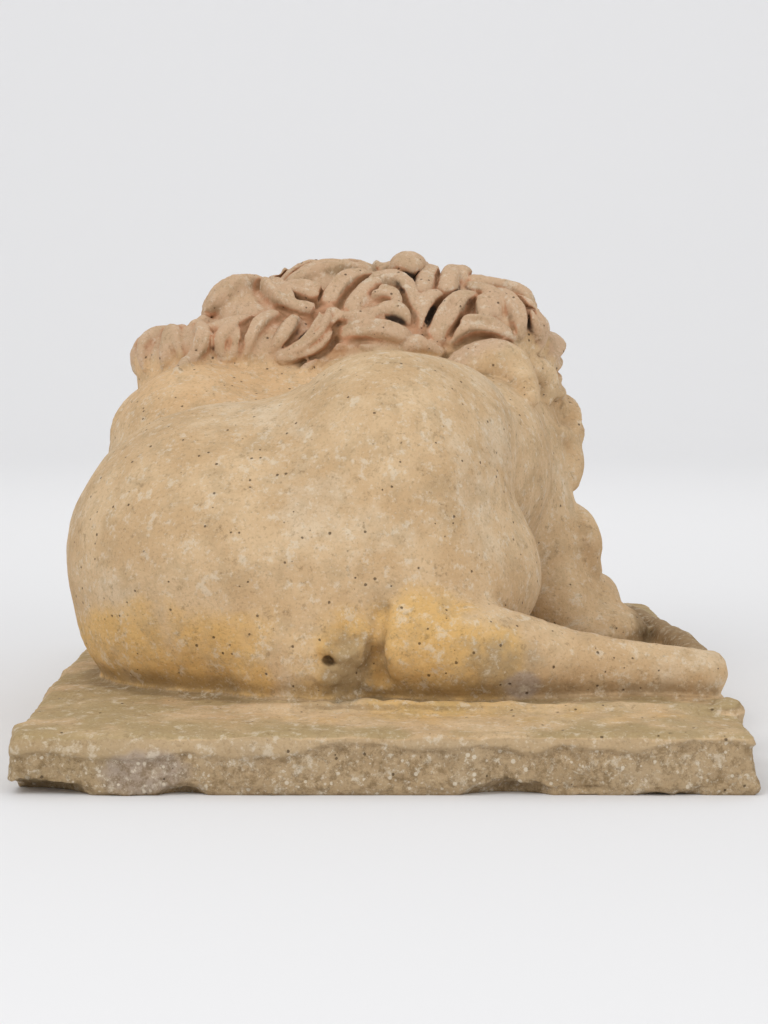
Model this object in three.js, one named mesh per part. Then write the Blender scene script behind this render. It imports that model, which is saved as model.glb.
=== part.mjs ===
// A lion lying on a rectangular slab, cast in one piece.
// Millimetres, +Z up. The lion faces +Y, and the underside of the slab lies on Z = 0.
import * as THREE from 'three';

// Driving sizes of the casting
const WIDTH = 400;
const LENGTH = 620;
const HEIGHT = 292;

// The slab, whose top falls away a little towards its edges
const SLAB_TOP = 36;
const SLAB_ROUND = 6;
const SLAB_LEAN = 2.5;
const SLAB_DROP = 4;
const SLAB_DROP_REACH = 70;

// The sculpting grid, and how many triangles the finished skin keeps
const CELL = 4;
const MARGIN = 14;
const FAR = 60;
const NORMAL_REACH = 6;
const FACES = 9400;

// Thinning: pull towards an edge's middle, preference for even edges, and what a triangle may turn into
const HOLD = 0.002;
const EVENNESS = 1e-4;
const LEAST_FULLNESS = 0.02;
const LEAST_AGREEMENT = 0.2;
const FLAT = 0.4;

// Places that other shapes are measured from
const NECK = new THREE.Vector3(0, 118, 182);
const HEAD_X = 12;

const STONE_COLOUR = 0xcdb48c;

// Rounded masses: what it is, centre, radii, blend into what is already there
const HINDQUARTERS = [
  ['rump', [-90, -90, 106], [100, 116, 92], 0],
  ['seat on the slab', [-88, -92, 66], [89, 108, 54], 18],
  ['right hip', [2, -105, 142], [74, 98, 88], 34],
  ['back of the thighs', [-42, -104, 98], [104, 112, 78], 30],
  ['right thigh', [10, -128, 92], [74, 84, 60], 22],
  ['right knee', [54, -110, 100], [38, 50, 40], 16],
  ['right flank', [34, -75, 176], [46, 70, 46], 16],
];

const TRUNK = [
  ['barrel', [-50, 0, 108], [125, 150, 90], 14],
  ['left side of the back', [-120, 40, 152], [58, 85, 66], 20],
  ['withers', [-55, 70, 130], [105, 75, 92], 20],
  ['breast', [-24, 100, 112], [124, 100, 94], 30],
  ['right shoulder', [58, 85, 130], [46, 62, 75], 22],
  ['right side behind the shoulder', [62, 48, 150], [46, 100, 62], 26],
  ['left shoulder', [-122, 80, 125], [46, 65, 80], 25],
];

const NECK_MASSES = [
  ['crown', [0, 118, 211], [76, 74, 65], 20],
  ['crown, left', [-60, 106, 214], [57, 54, 52], 12],
  ['cape over the left shoulder', [-105, 84, 208], [58, 38, 32], 10],
  ['crown, right', [55, 108, 211], [51, 58, 51], 12],
  ['collar, right', [62, 108, 160], [58, 62, 62], 15],
  ['mane on the breast', [2, 150, 112], [98, 76, 84], 20],
  ['skull', [HEAD_X, 186, 214], [54, 56, 50], 15],
];

// Humps of the mane, seen from behind
const MANE_HUMPS = [
  ['over the left shoulder', [-90, 95, 245], [25, 28, 20], 8],
  ['left of the crown', [-30, 115, 250], [44, 36, 28], 8],
  ['right of the crown', [44, 112, 252], [26, 30, 22], 8],
  ['right end', [74, 106, 234], [34, 44, 30], 10],
  ['knob', [16, 104, 279], [13, 13, 12], 3],
];

// Limbs: what it is, blend, then points along it with its radius there
const FORELEGS = [
  ['right upper arm', 14, [84, 78, 132, 40], [101, 64, 95, 29], [106, 58, 66, 26]],
  ['right forearm', 12, [112, 50, 58, 25], [134, 90, 55, 25], [126, 180, 54, 22], [106, 240, 53, 21]],
  ['left upper arm', 18, [-130, 75, 130, 40], [-146, 60, 90, 30], [-150, 54, 64, 28]],
  ['left forearm', 12, [-148, 48, 62, 29], [-140, 100, 57, 27], [-100, 190, 54, 22], [-76, 242, 53, 21]],
];

const MUZZLE = [
  ['jaws', 10, [HEAD_X, 216, 212, 38], [HEAD_X, 250, 199, 30], [HEAD_X, 266, 193, 26]],
  ['bridge of the nose', 8, [HEAD_X, 220, 246, 20], [HEAD_X, 252, 228, 17], [HEAD_X, 276, 215, 13]],
];

const ELBOW = ['right elbow', [136, 60, 44], [36, 38, 18], 10];

const FRINGE_ROLL = ['roll that the fringe hangs on', 8, [-148, 76, 221, 14], [-122, 63, 223, 19],
  [-85, 62, 226, 20], [-45, 74, 228, 18]];

const HOCK = ['hock', [-42, -186, 60], [44, 40, 42], 20];
const HIND_FOOT = ['right hind foot', 6, [10, -190, 68, 34], [45, -197, 62, 31], [80, -194, 57, 24],
  [125, -188, 52, 18], [183, -183, 47.5, 13]];

// The crease beside the hock: x and z as it shows from behind, and its radius
const HOCK_CREASE = [[0, 90, 2], [-4, 76, 5], [-5, 62, 7], [-3, 48, 6]];
const CREASE_BLEND = 4;

const TAIL = [
  ['tail along the right edge', 6, [60, -112, 46, 14], [112, -128, 44, 13], [164, -122, 42, 12],
    [187, -88, 40, 10], [188, -20, 40, 10], [183, 60, 39, 9], [174, 128, 39, 9]],
  ['tuft of the tail', 3, [174, 118, 39, 9], [168, 150, 40, 9], [158, 172, 38, 7]],
];

// The slab's worn places: a lip before the foot, a lump, and chips along its lower edge
const LIP = ['lip before the hind foot', 5, [-84, -243, 29, 6], [-40, -242, 33, 7.5], [40, -243, 33, 7.5],
  [190, -240, 32, 6]];
const LUMP = ['lump on the right edge', [189, -234, 34], [10, 15, 7], 4];
const CHIPS = [
  ['left corner', [-200, -312, -1], [44, 30, 7], 3],
  ['left of the middle', [-106, -312, 0], [13, 14, 6], 3],
  ['right of the middle', [64, -312, 0], [24, 16, 6], 3],
  ['right end', [150, -312, -1], [20, 12, 4], 2],
];

// Front paws: centre x and y, and how far each is turned, in degrees
const PAWS = [[106, 252, -12], [-74, 254, 20]];
const PAW_HEIGHT = 46;
const TOES = 4;
const TOE_PITCH = 13;

// Locks as they show from behind: x and z of their start, middle and end, width, strands
const FRINGE_LOCKS = [
    [[-124, 243], [-156, 241], [-169, 212], 11, 1],
    [[-133, 241], [-153, 233], [-156, 214], 11, 1],
    [[-118, 240], [-117, 229], [-131, 214], 15, 2],
    [[-137, 233], [-139, 225], [-142, 214], 7, 1],
    [[-142, 218], [-138, 239], [-130, 221], 9, 1],
    [[-82, 245], [-103, 235], [-102, 220], 11, 1],
    [[-82, 242], [-93, 233], [-98, 221], 9, 1],
    [[-110, 241], [-95, 243], [-76, 248], 9, 1],
    [[-67, 250], [-82, 240], [-89, 224], 12, 2],
    [[-58, 247], [-64, 237], [-72, 226], 11, 1],
    [[-9, 229], [-19, 231], [-28, 225], 11, 1],
    [[-21, 232], [-38, 227], [-51, 213], 14, 2],
    [[-36, 252], [-42, 234], [-66, 221], 21, 3],
];
const LEFT_LOCKS = [
    [[-95, 271], [-112, 259], [-123, 244], 15, 1],
    [[-82, 268], [-70, 259], [-58, 251], 20, 1],
    [[-82, 269], [-97, 263], [-115, 244], 20, 2],
    [[-34, 253], [-51, 251], [-63, 254], 11, 1],
    [[-34, 259], [-53, 260], [-68, 264], 17, 1],
];
const CROWN_LOCKS = [
    [[-65, 269], [-53, 280], [-32, 282], 17, 2],
    [[-36, 283], [-22, 287], [-8, 283], 15, 1],
    [[-61, 267], [-40, 275], [-11, 277], 16, 2],
    [[-36, 254], [-25, 268], [-7, 272], 15, 2],
    [[-25, 236], [-2, 238], [18, 230], 15, 1],
    [[-40, 249], [-25, 247], [-6, 246], 10, 1],
    [[-14, 258], [0, 261], [14, 253], 13, 2],
    [[-4, 250], [8, 250], [20, 241], 11, 1],
    [[-21, 253], [8, 271], [24, 234], 14, 2],
    [[15, 228], [27, 230], [39, 222], 9, 1],
];
const RIGHT_LOCKS = [
    [[44, 235], [61, 240], [82, 234], 17, 1],
    [[27, 241], [30, 257], [42, 253], 13, 1],
    [[25, 263], [33, 276], [42, 264], 14, 1],
    [[42, 264], [49, 278], [59, 264], 15, 1],
    [[63, 269], [78, 271], [94, 260], 13, 1],
    [[84, 258], [94, 246], [101, 226], 15, 2],
    [[61, 268], [84, 266], [97, 249], 16, 2],
    [[73, 262], [84, 250], [87, 235], 14, 2],
    [[59, 265], [69, 259], [73, 248], 12, 1],
    [[57, 258], [65, 252], [65, 241], 11, 1],
    [[34, 236], [45, 250], [57, 259], 18, 2],
    [[94, 248], [103, 240], [98, 224], 9, 1],
];
// Soft locks down the right side, from their lower tips up
const SIDE_DROPS = [
    [[122, 178], [116, 198], [104, 216], 18, 1],
    [[129, 141], [125, 158], [114, 172], 20, 1],
    [[140, 88], [137, 103], [129, 119], 24, 1],
];
const COLLAR_LOBES = [
    [[50, 212], [74, 213], [91, 195], 29, 1],
    [[98, 214], [105, 205], [105, 192], 17, 1],
];

// Tiers of locks around the face, by their angle from straight back, and the lock made there
const FACE_TIERS = [98, 108, 118, 128, 138, 148];
const SIDE_TIERS = [98, 84];
const TIER_LOCK = { length: 52, width: 23, pitch: 22, radius: 112 };
const LOWEST_LOCK = 50;
const STATIONS = 10;
const LOCK_STEPS = 12;
const LOCK_FLATNESS = 0.8;
const LOCK_BOW = 0.22;
const DROP_BOW = 0.12;
const LOCK_BLEND = 3;
const LOCK_FULLNESS = 1.15;
const LOCK_MOAT = 1.6;
const LOCK_MOAT_HEIGHT = 0.15;
const ROOT_DEPTH = 0.3;
const FLUTE_DEPTH = 0.5;

// How often the locks are rubbed soft, and the box that holds them
const RUBS = 1;
const RUBBED_LOW = [-190, 20, 60];
const RUBBED_HIGH = [160, 300, 300];

function smoothUnion(a, b, blend) {
  const near = Math.max(blend - Math.abs(a - b), 0);
  return Math.min(a, b) - (blend > 0 ? near * near / blend / 4 : 0);
}

// A repeatable number from 0 to 1 for a set of counters
function chance(...counters) {
  const weights = [12.9898, 78.233, 37.719];
  const sum = counters.reduce((total, counter, index) => total + counter * weights[index], 0);
  const value = Math.sin(sum) * 43758.5453;
  return value - Math.floor(value);
}

// An ellipsoid; turn holds rotations about X, Y and Z in degrees
function ellipsoid(centre, radii, turn = [0, 0, 0]) {
  const angles = turn.map(THREE.MathUtils.degToRad);
  const spin = new THREE.Matrix4().makeRotationFromEuler(new THREE.Euler(...angles, 'ZYX')).elements;
  const axes = [0, 4, 8].map((first) => [spin[first], spin[first + 1], spin[first + 2]]);
  const reach = [0, 1, 2].map((side) => Math.hypot(...axes.map((axis, index) => axis[side] * radii[index])));
  return {
    low: centre.map((value, side) => value - reach[side]),
    high: centre.map((value, side) => value + reach[side]),
    distance(x, y, z) {
      const dx = x - centre[0];
      const dy = y - centre[1];
      const dz = z - centre[2];
      let scaled = 0;
      let steep = 0;
      for (let index = 0; index < 3; index += 1) {
        const axis = axes[index];
        const along = (axis[0] * dx + axis[1] * dy + axis[2] * dz) / radii[index];
        scaled += along * along;
        steep += (along / radii[index]) ** 2;
      }
      const level = Math.sqrt(scaled);
      return level * (level - 1) / (Math.sqrt(steep) + 1e-9);
    },
  };
}

// Points of a smooth curve through rows of numbers
function curveThrough(rows, count) {
  const ends = [rows[0].map((value, axis) => 2 * value - rows[1][axis]),
    rows.at(-1).map((value, axis) => 2 * value - rows.at(-2)[axis])];
  const knots = [ends[0], ...rows, ends[1]];
  return Array.from({ length: count }, (_, step) => {
    const place = Math.min(step / (count - 1), 0.999999) * (rows.length - 1);
    const first = Math.floor(place);
    const t = place - first;
    return rows[0].map((_value, axis) => {
      const [a, b, c, d] = knots.slice(first, first + 4).map((knot) => knot[axis]);
      const square = 2 * a - 5 * b + 4 * c - d;
      const cube = 3 * b - a - 3 * c + d;
      return 0.5 * (2 * b + (c - a) * t + square * t * t + cube * t ** 3);
    });
  });
}

// The box around a path of rows that start with x, y, z and radius
function boxOf(path) {
  return {
    low: [0, 1, 2].map((axis) => Math.min(...path.map((row) => row[axis] - row[3]))),
    high: [0, 1, 2].map((axis) => Math.max(...path.map((row) => row[axis] + row[3]))),
  };
}

// How far along a path's segment from a to b the nearest point to x, y, z lies, from 0 to 1
function nearestAlong(a, b, x, y, z) {
  const ex = b[0] - a[0];
  const ey = b[1] - a[1];
  const ez = b[2] - a[2];
  const along = (x - a[0]) * ex + (y - a[1]) * ey + (z - a[2]) * ez;
  return Math.min(Math.max(along / (ex * ex + ey * ey + ez * ez + 1e-9), 0), 1);
}

// A tapered limb through rows of x, y, z and radius
function limb(rows, steps = 4 * (rows.length - 1) + 1) {
  const path = curveThrough(rows, steps);
  return {
    ...boxOf(path),
    distance(x, y, z) {
      let best = FAR;
      for (let index = 1; index < path.length; index += 1) {
        const a = path[index - 1];
        const b = path[index];
        const t = nearestAlong(a, b, x, y, z);
        const dx = x - a[0] - t * (b[0] - a[0]);
        const dy = y - a[1] - t * (b[1] - a[1]);
        const dz = z - a[2] - t * (b[2] - a[2]);
        best = Math.min(best, Math.sqrt(dx * dx + dy * dy + dz * dz) - a[3] - t * (b[3] - a[3]));
      }
      return best;
    },
  };
}

// A limb that is flattened along its upward directions and fluted into strands across its sides;
// rows hold place, radius, upward direction and sideways direction
function petal(rows, strands) {
  const path = curveThrough(rows, LOCK_STEPS);
  const stretch = 1 / LOCK_FLATNESS ** 2 - 1;
  const depth = strands > 1 ? FLUTE_DEPTH : 0;
  return {
    ...boxOf(path),
    distance(x, y, z) {
      let best = FAR;
      for (let index = 1; index < path.length; index += 1) {
        const a = path[index - 1];
        const b = path[index];
        const t = nearestAlong(a, b, x, y, z);
        const dx = x - a[0] - t * (b[0] - a[0]);
        const dy = y - a[1] - t * (b[1] - a[1]);
        const dz = z - a[2] - t * (b[2] - a[2]);
        const radius = a[3] + t * (b[3] - a[3]);
        const rise = dx * a[4] + dy * a[5] + dz * a[6];
        const across = THREE.MathUtils.clamp((dx * a[7] + dy * a[8] + dz * a[9]) / radius, -1, 1);
        const valley = 0.5 + 0.5 * Math.cos(Math.PI * strands * (across + 1));
        const fade = Math.sin(Math.PI * (index - 1 + t) / (LOCK_STEPS - 1));
        const gap = Math.sqrt(dx * dx + dy * dy + dz * dz + stretch * rise * rise);
        best = Math.min(best, gap - radius * (1 - depth * fade * valley));
      }
      return best;
    },
  };
}

// The slab: a box with rounded edges, sides that lean in, and a top that falls towards its edges
function slab() {
  return {
    low: [-WIDTH / 2, -LENGTH / 2, 0],
    high: [WIDTH / 2, LENGTH / 2, SLAB_TOP],
    distance(x, y, z) {
      const lean = SLAB_LEAN * z / SLAB_TOP;
      const fromSide = Math.abs(x) - (WIDTH / 2 - lean);
      const fromEnd = Math.abs(y) - (LENGTH / 2 - lean);
      const inside = Math.min(Math.max(-Math.max(fromSide, fromEnd) / SLAB_DROP_REACH, 0), 1);
      const top = SLAB_TOP - SLAB_DROP * (1 - inside) ** 2;
      const beyond = [fromSide, fromEnd, Math.abs(z - top / 2) - top / 2].map((value) => value + SLAB_ROUND);
      const outside = Math.hypot(...beyond.map((value) => Math.max(value, 0)));
      return outside + Math.min(Math.max(...beyond), 0) - SLAB_ROUND;
    },
  };
}

// Clay on a grid: each node holds its distance to the surface, negative inside
class Clay {
  constructor(low, high) {
    this.low = low;
    this.count = low.map((value, axis) => Math.ceil((high[axis] - value) / CELL) + 1);
    this.field = new Float32Array(this.count[0] * this.count[1] * this.count[2]).fill(FAR);
  }

  index(i, j, k) {
    return (i * this.count[1] + j) * this.count[2] + k;
  }

  place(i, j, k) {
    return [this.low[0] + i * CELL, this.low[1] + j * CELL, this.low[2] + k * CELL];
  }

  stamp(shape, blend, join) {
    const reach = blend + 3 * CELL;
    const from = shape.low.map((value, axis) =>
      Math.max(Math.floor((value - reach - this.low[axis]) / CELL), 0));
    const to = shape.high.map((value, axis) =>
      Math.min(Math.ceil((value + reach - this.low[axis]) / CELL), this.count[axis] - 1));
    for (let i = from[0]; i <= to[0]; i += 1) {
      for (let j = from[1]; j <= to[1]; j += 1) {
        for (let k = from[2]; k <= to[2]; k += 1) {
          const node = this.index(i, j, k);
          this.field[node] = join(this.field[node], shape.distance(...this.place(i, j, k)), blend);
        }
      }
    }
  }

  add(shape, blend = 0) {
    this.stamp(shape, blend, smoothUnion);
  }

  carve(shape, blend = 0) {
    this.stamp(shape, blend, (clay, cut, k) => -smoothUnion(-clay, cut, k));
  }

  // Keep the shape as it is now, for locks to crawl over
  freeze() {
    this.skin = this.field.slice();
  }

  sample(point) {
    const place = point.toArray().map((value, axis) => {
      const limit = this.count[axis] - 1.001;
      return Math.min(Math.max((value - this.low[axis]) / CELL, 0), limit);
    });
    const first = place.map(Math.floor);
    const part = place.map((value, axis) => value - first[axis]);
    let sum = 0;
    for (let corner = 0; corner < 8; corner += 1) {
      const step = [corner & 1, corner >> 1 & 1, corner >> 2];
      const weight = step.reduce((total, far, axis) => total * (far ? part[axis] : 1 - part[axis]), 1);
      sum += weight * this.skin[this.index(first[0] + step[0], first[1] + step[1], first[2] + step[2])];
    }
    return sum;
  }

  normal(point) {
    const rise = ['x', 'y', 'z'].map((axis) => {
      const ahead = point.clone();
      const behind = point.clone();
      ahead[axis] += NORMAL_REACH;
      behind[axis] -= NORMAL_REACH;
      return this.sample(ahead) - this.sample(behind);
    });
    return new THREE.Vector3(...rise).normalize();
  }

  // Pull a point onto the surface
  settle(point) {
    for (let turn = 0; turn < 8; turn += 1) {
      point.addScaledVector(this.normal(point), -0.9 * this.sample(point));
    }
    return point;
  }

  // Rub the clay soft within a box: each node takes the mean of itself and those around it
  rub(low, high, times) {
    const from = low.map((value, axis) => Math.max(Math.ceil((value - this.low[axis]) / CELL), 1));
    const to = high.map((value, axis) =>
      Math.min(Math.floor((value - this.low[axis]) / CELL), this.count[axis] - 2));
    const steps = [this.index(1, 0, 0), this.index(0, 1, 0), this.index(0, 0, 1)];
    for (let turn = 0; turn < times; turn += 1) {
      const before = this.field.slice();
      for (let i = from[0]; i <= to[0]; i += 1) {
        for (let j = from[1]; j <= to[1]; j += 1) {
          for (let k = from[2]; k <= to[2]; k += 1) {
            const node = this.index(i, j, k);
            const around = steps.reduce((sum, step) => sum + before[node - step] + before[node + step], 0);
            this.field[node] = before[node] / 2 + around / 12;
          }
        }
      }
    }
  }
}

// Places along a lock that crawls over the surface, turning left by bend degrees along its length
function crawl(clay, start, heading, length, bend) {
  const point = clay.settle(start.clone());
  const ahead = new THREE.Vector3(...heading);
  const points = [];
  while (points.length < STATIONS) {
    const up = clay.normal(point);
    ahead.projectOnPlane(up).normalize();
    points.push(point.clone());
    ahead.applyAxisAngle(up, THREE.MathUtils.degToRad(bend) / (STATIONS - 1));
    clay.settle(point.addScaledVector(ahead, length / (STATIONS - 1)));
  }
  return points;
}

// A lock of hair along places on the surface: a fluted petal, which may stand in a shallow moat
function pressLock(clay, points, width, strands, bow = LOCK_BOW, moated = true) {
  if (points.some((point) => point.z < LOWEST_LOCK)) {
    return;
  }
  const last = points.length - 1;
  const stations = points.map((point, index) => {
    const up = clay.normal(point);
    const ahead = points[Math.min(index + 1, last)].clone().sub(points[Math.max(index - 1, 0)]);
    const t = index / last;
    const half = 0.5 * LOCK_FULLNESS * width * Math.sin(Math.PI * (0.24 + 0.67 * t)) ** 0.7;
    const rise = width * bow * Math.sin(Math.PI * (0.06 + 0.8 * t));
    return { point, up, side: up.clone().cross(ahead).normalize(), half, rise };
  });
  const rows = (height, spare) => stations.map((station) => {
    const place = station.point.clone().addScaledVector(station.up, height(station));
    return [...place, station.half + spare, ...station.up, ...station.side];
  });
  if (moated) {
    clay.carve(petal(rows(() => LOCK_MOAT_HEIGHT * width, LOCK_MOAT), 1), LOCK_BLEND);
  }
  clay.add(limb(rows(() => -ROOT_DEPTH * width, 0), LOCK_STEPS), LOCK_BLEND);
  clay.add(petal(rows((station) => station.rise, 0), strands), LOCK_BLEND);
}

function addMasses(clay, masses) {
  for (const [, centre, radii, blend] of masses) {
    clay.add(ellipsoid(centre, radii), blend);
  }
}

function addLimbs(clay, limbs) {
  for (const [, blend, ...rows] of limbs) {
    clay.add(limb(rows), blend);
  }
}

function addPaws(clay) {
  for (const [x, y, turn] of PAWS) {
    const angle = THREE.MathUtils.degToRad(turn);
    for (let toe = 0; toe < TOES; toe += 1) {
      const across = toe - (TOES - 1) / 2;
      const toeX = x + across * TOE_PITCH * Math.cos(angle);
      const toeY = y + 8 - 3 * across * across - across * TOE_PITCH * Math.sin(angle);
      clay.add(ellipsoid([toeX, toeY, PAW_HEIGHT], [9, 20, 14], [0, 0, -turn]), 3);
    }
    clay.add(ellipsoid([x, y - 4, PAW_HEIGHT], [27, 22, 18]), 8);
  }
}

function addFace(clay) {
  addLimbs(clay, MUZZLE);
  clay.add(ellipsoid([HEAD_X, 264, 168], [19, 18, 13]), 6);
  for (const side of [-1, 1]) {
    clay.add(ellipsoid([HEAD_X + 38 * side, 208, 204], [22, 26, 28]), 10);
    clay.add(ellipsoid([HEAD_X + 15 * side, 270, 192], [18, 20, 16]), 5);
    const eyeX = HEAD_X + 25 * side;
    clay.add(ellipsoid([eyeX, 229, 242], [20, 14, 8], [0, 0, -18 * side]), 7);
    clay.carve(ellipsoid([eyeX, 251, 228], [15, 14, 9]), 4);
    clay.add(ellipsoid([eyeX, 238, 228], [9, 8, 8]), 0.5);
    for (const [drop, radius] of [[8, 3], [-8, 2.5]]) {
      const lid = [[eyeX - 13, 242, 227, 2], [eyeX, 247, 228 + drop, radius], [eyeX + 13, 242, 227, 2]];
      clay.add(limb(lid), 1.5);
    }
  }
  clay.add(ellipsoid([HEAD_X, 283, 209], [17, 12, 9]), 3);
  const mouth = [[-32, 254, 187, 2], [-20, 276, 178, 3], [-7, 288, 180, 3], [0, 290, 187, 2.5],
    [7, 288, 180, 3], [20, 276, 178, 3], [32, 254, 187, 2]];
  clay.carve(limb(mouth.map(([across, ...rest]) => [HEAD_X + across, ...rest])), 2);
}

function addEars(clay) {
  for (const side of [-1, 1]) {
    const earX = HEAD_X + 52 * side;
    const turn = [0, 0, 24 * side];
    clay.add(ellipsoid([earX, 196, 254], [16, 10, 16], turn), 4);
    clay.carve(ellipsoid([earX + 2 * side, 207, 255], [9, 8, 10], turn), 3);
  }
}

function addHindLeg(clay) {
  addMasses(clay, [HOCK]);
  addLimbs(clay, [HIND_FOOT]);
}

function wearSlab(clay) {
  addLimbs(clay, [LIP]);
  addMasses(clay, [LUMP]);
  for (const [, centre, radii, blend] of CHIPS) {
    clay.carve(ellipsoid(centre, radii), blend);
  }
}

// The surface point met from behind at x and z, from a given depth on, or the nearest one
function pointFromBehind(clay, x, z, depth = -20) {
  const point = new THREE.Vector3(x, depth, z);
  const nearest = { level: FAR, y: point.y };
  for (; point.y < 150 && nearest.level > 0; point.y += 2) {
    const level = clay.sample(point);
    if (level < nearest.level) {
      nearest.level = level;
      nearest.y = point.y;
    }
  }
  return new THREE.Vector3(x, nearest.y, z);
}

function carveCrease(clay) {
  const rows = HOCK_CREASE.map(([x, z, radius]) => [...pointFromBehind(clay, x, z, -LENGTH / 2), radius]);
  clay.carve(limb(rows), CREASE_BLEND);
}

// The surface point met going out from the neck
function pointFromNeck(clay, outward) {
  const point = NECK.clone().addScaledVector(outward, 30);
  while (clay.sample(point) < 0) {
    point.addScaledVector(outward, 2);
  }
  return point;
}

// Places on the surface along a bow that shows from behind through three points
function drawn(clay, start, middle, end) {
  const pull = middle.map((value, axis) => 2 * value - (start[axis] + end[axis]) / 2);
  const points = Array.from({ length: STATIONS }, (_, index) => {
    const t = index / (STATIONS - 1);
    const [x, z] = start.map((value, axis) =>
      (1 - t) ** 2 * value + 2 * t * (1 - t) * pull[axis] + t * t * end[axis]);
    return pointFromBehind(clay, x, z);
  });
  for (let turn = 0; turn < 4; turn += 1) {
    const depths = points.map((point) => point.y);
    for (let index = 1; index < STATIONS - 1; index += 1) {
      points[index].y = depths[index] / 2 + (depths[index - 1] + depths[index + 1]) / 4;
    }
  }
  return points.map((point) => clay.settle(point));
}

function addBackLocks(clay) {
  const locks = [...FRINGE_LOCKS, ...LEFT_LOCKS, ...CROWN_LOCKS, ...RIGHT_LOCKS, ...COLLAR_LOBES];
  for (const [start, middle, end, width, strands] of locks) {
    pressLock(clay, drawn(clay, start, middle, end), width, strands);
  }
  for (const [start, middle, end, width, strands] of SIDE_DROPS) {
    pressLock(clay, drawn(clay, start, middle, end), width, strands, DROP_BOW, false);
  }
}

// Directions at a clock angle, 0 up and positive to the right, and an angle from straight back
function directions(clock, polar) {
  const a = THREE.MathUtils.degToRad(clock);
  const b = THREE.MathUtils.degToRad(polar);
  return {
    outward: new THREE.Vector3(Math.sin(b) * Math.sin(a), -Math.cos(b), Math.sin(b) * Math.cos(a)),
    back: new THREE.Vector3(-Math.cos(b) * Math.sin(a), -Math.sin(b), -Math.cos(b) * Math.cos(a)),
    around: new THREE.Vector3(Math.cos(a), 0, -Math.sin(a)).multiplyScalar(Math.sign(clock)),
  };
}

function addFaceLocks(clay) {
  FACE_TIERS.forEach((polar, tier) => {
    const ring = 2 * Math.PI * TIER_LOCK.radius * Math.sin(THREE.MathUtils.degToRad(polar));
    const count = Math.floor(ring / TIER_LOCK.pitch);
    for (let place = 0; place < count; place += 1) {
      const clock = -180 + 360 * (place + 0.5 * (tier % 2)) / count;
      const onCrown = polar < 112 && clock > -75 && clock < 60;
      const onFace = polar > 142 && Math.abs(clock) < 128;
      if (onCrown || onFace) {
        continue;
      }
      const { outward, back, around } = directions(clock, polar + 6 * (chance(tier, place) - 0.5));
      const sweep = 0.6 * Math.abs(Math.sin(THREE.MathUtils.degToRad(clock)));
      const heading = back.addScaledVector(around, sweep + 0.4 * (chance(tier, place, 2) - 0.5));
      const length = TIER_LOCK.length * (0.85 + 0.3 * chance(tier, place, 3));
      const width = TIER_LOCK.width * (0.85 + 0.3 * chance(tier, place, 4));
      const bend = 100 * (chance(tier, place, 5) - 0.5);
      const points = crawl(clay, pointFromNeck(clay, outward), heading, length, bend);
      pressLock(clay, points, width, 2, LOCK_BOW, false);
    }
  });
}

function addSideLocks(clay) {
  SIDE_TIERS.forEach((polar, tier) => {
    for (let place = 0; place < 5; place += 1) {
      const { outward } = directions(-80 - 13 * place - 5 * tier, polar);
      const bend = 60 * (chance(tier, place, 7) - 0.5);
      const points = crawl(clay, pointFromNeck(clay, outward), [0, -0.6, -1], 46, bend);
      pressLock(clay, points, 24, 2, 0.12, false);
    }
  });
}

function sculpt() {
  const reach = [WIDTH / 2 + MARGIN, LENGTH / 2 + MARGIN];
  const clay = new Clay([-reach[0], -reach[1], -MARGIN], [reach[0], reach[1], HEIGHT + MARGIN]);
  addMasses(clay, HINDQUARTERS);
  addMasses(clay, TRUNK);
  addLimbs(clay, FORELEGS);
  addMasses(clay, [ELBOW]);
  addPaws(clay);
  addMasses(clay, NECK_MASSES);
  addMasses(clay, MANE_HUMPS);
  addLimbs(clay, [FRINGE_ROLL]);
  addFace(clay);
  addHindLeg(clay);
  addLimbs(clay, TAIL);
  clay.add(slab(), 9);
  wearSlab(clay);
  clay.freeze();
  addFaceLocks(clay);
  addEars(clay);
  addSideLocks(clay);
  addBackLocks(clay);
  clay.rub(RUBBED_LOW, RUBBED_HIGH, RUBS);
  carveCrease(clay);
  return clay;
}

// The six tetrahedra around a cell's long diagonal, by corner number (bit 0 is x, bit 1 y, bit 2 z)
const TETRAHEDRA = [[0, 1, 3, 7], [0, 2, 3, 7], [0, 2, 6, 7], [0, 4, 6, 7], [0, 4, 5, 7], [0, 1, 5, 7]];

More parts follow.
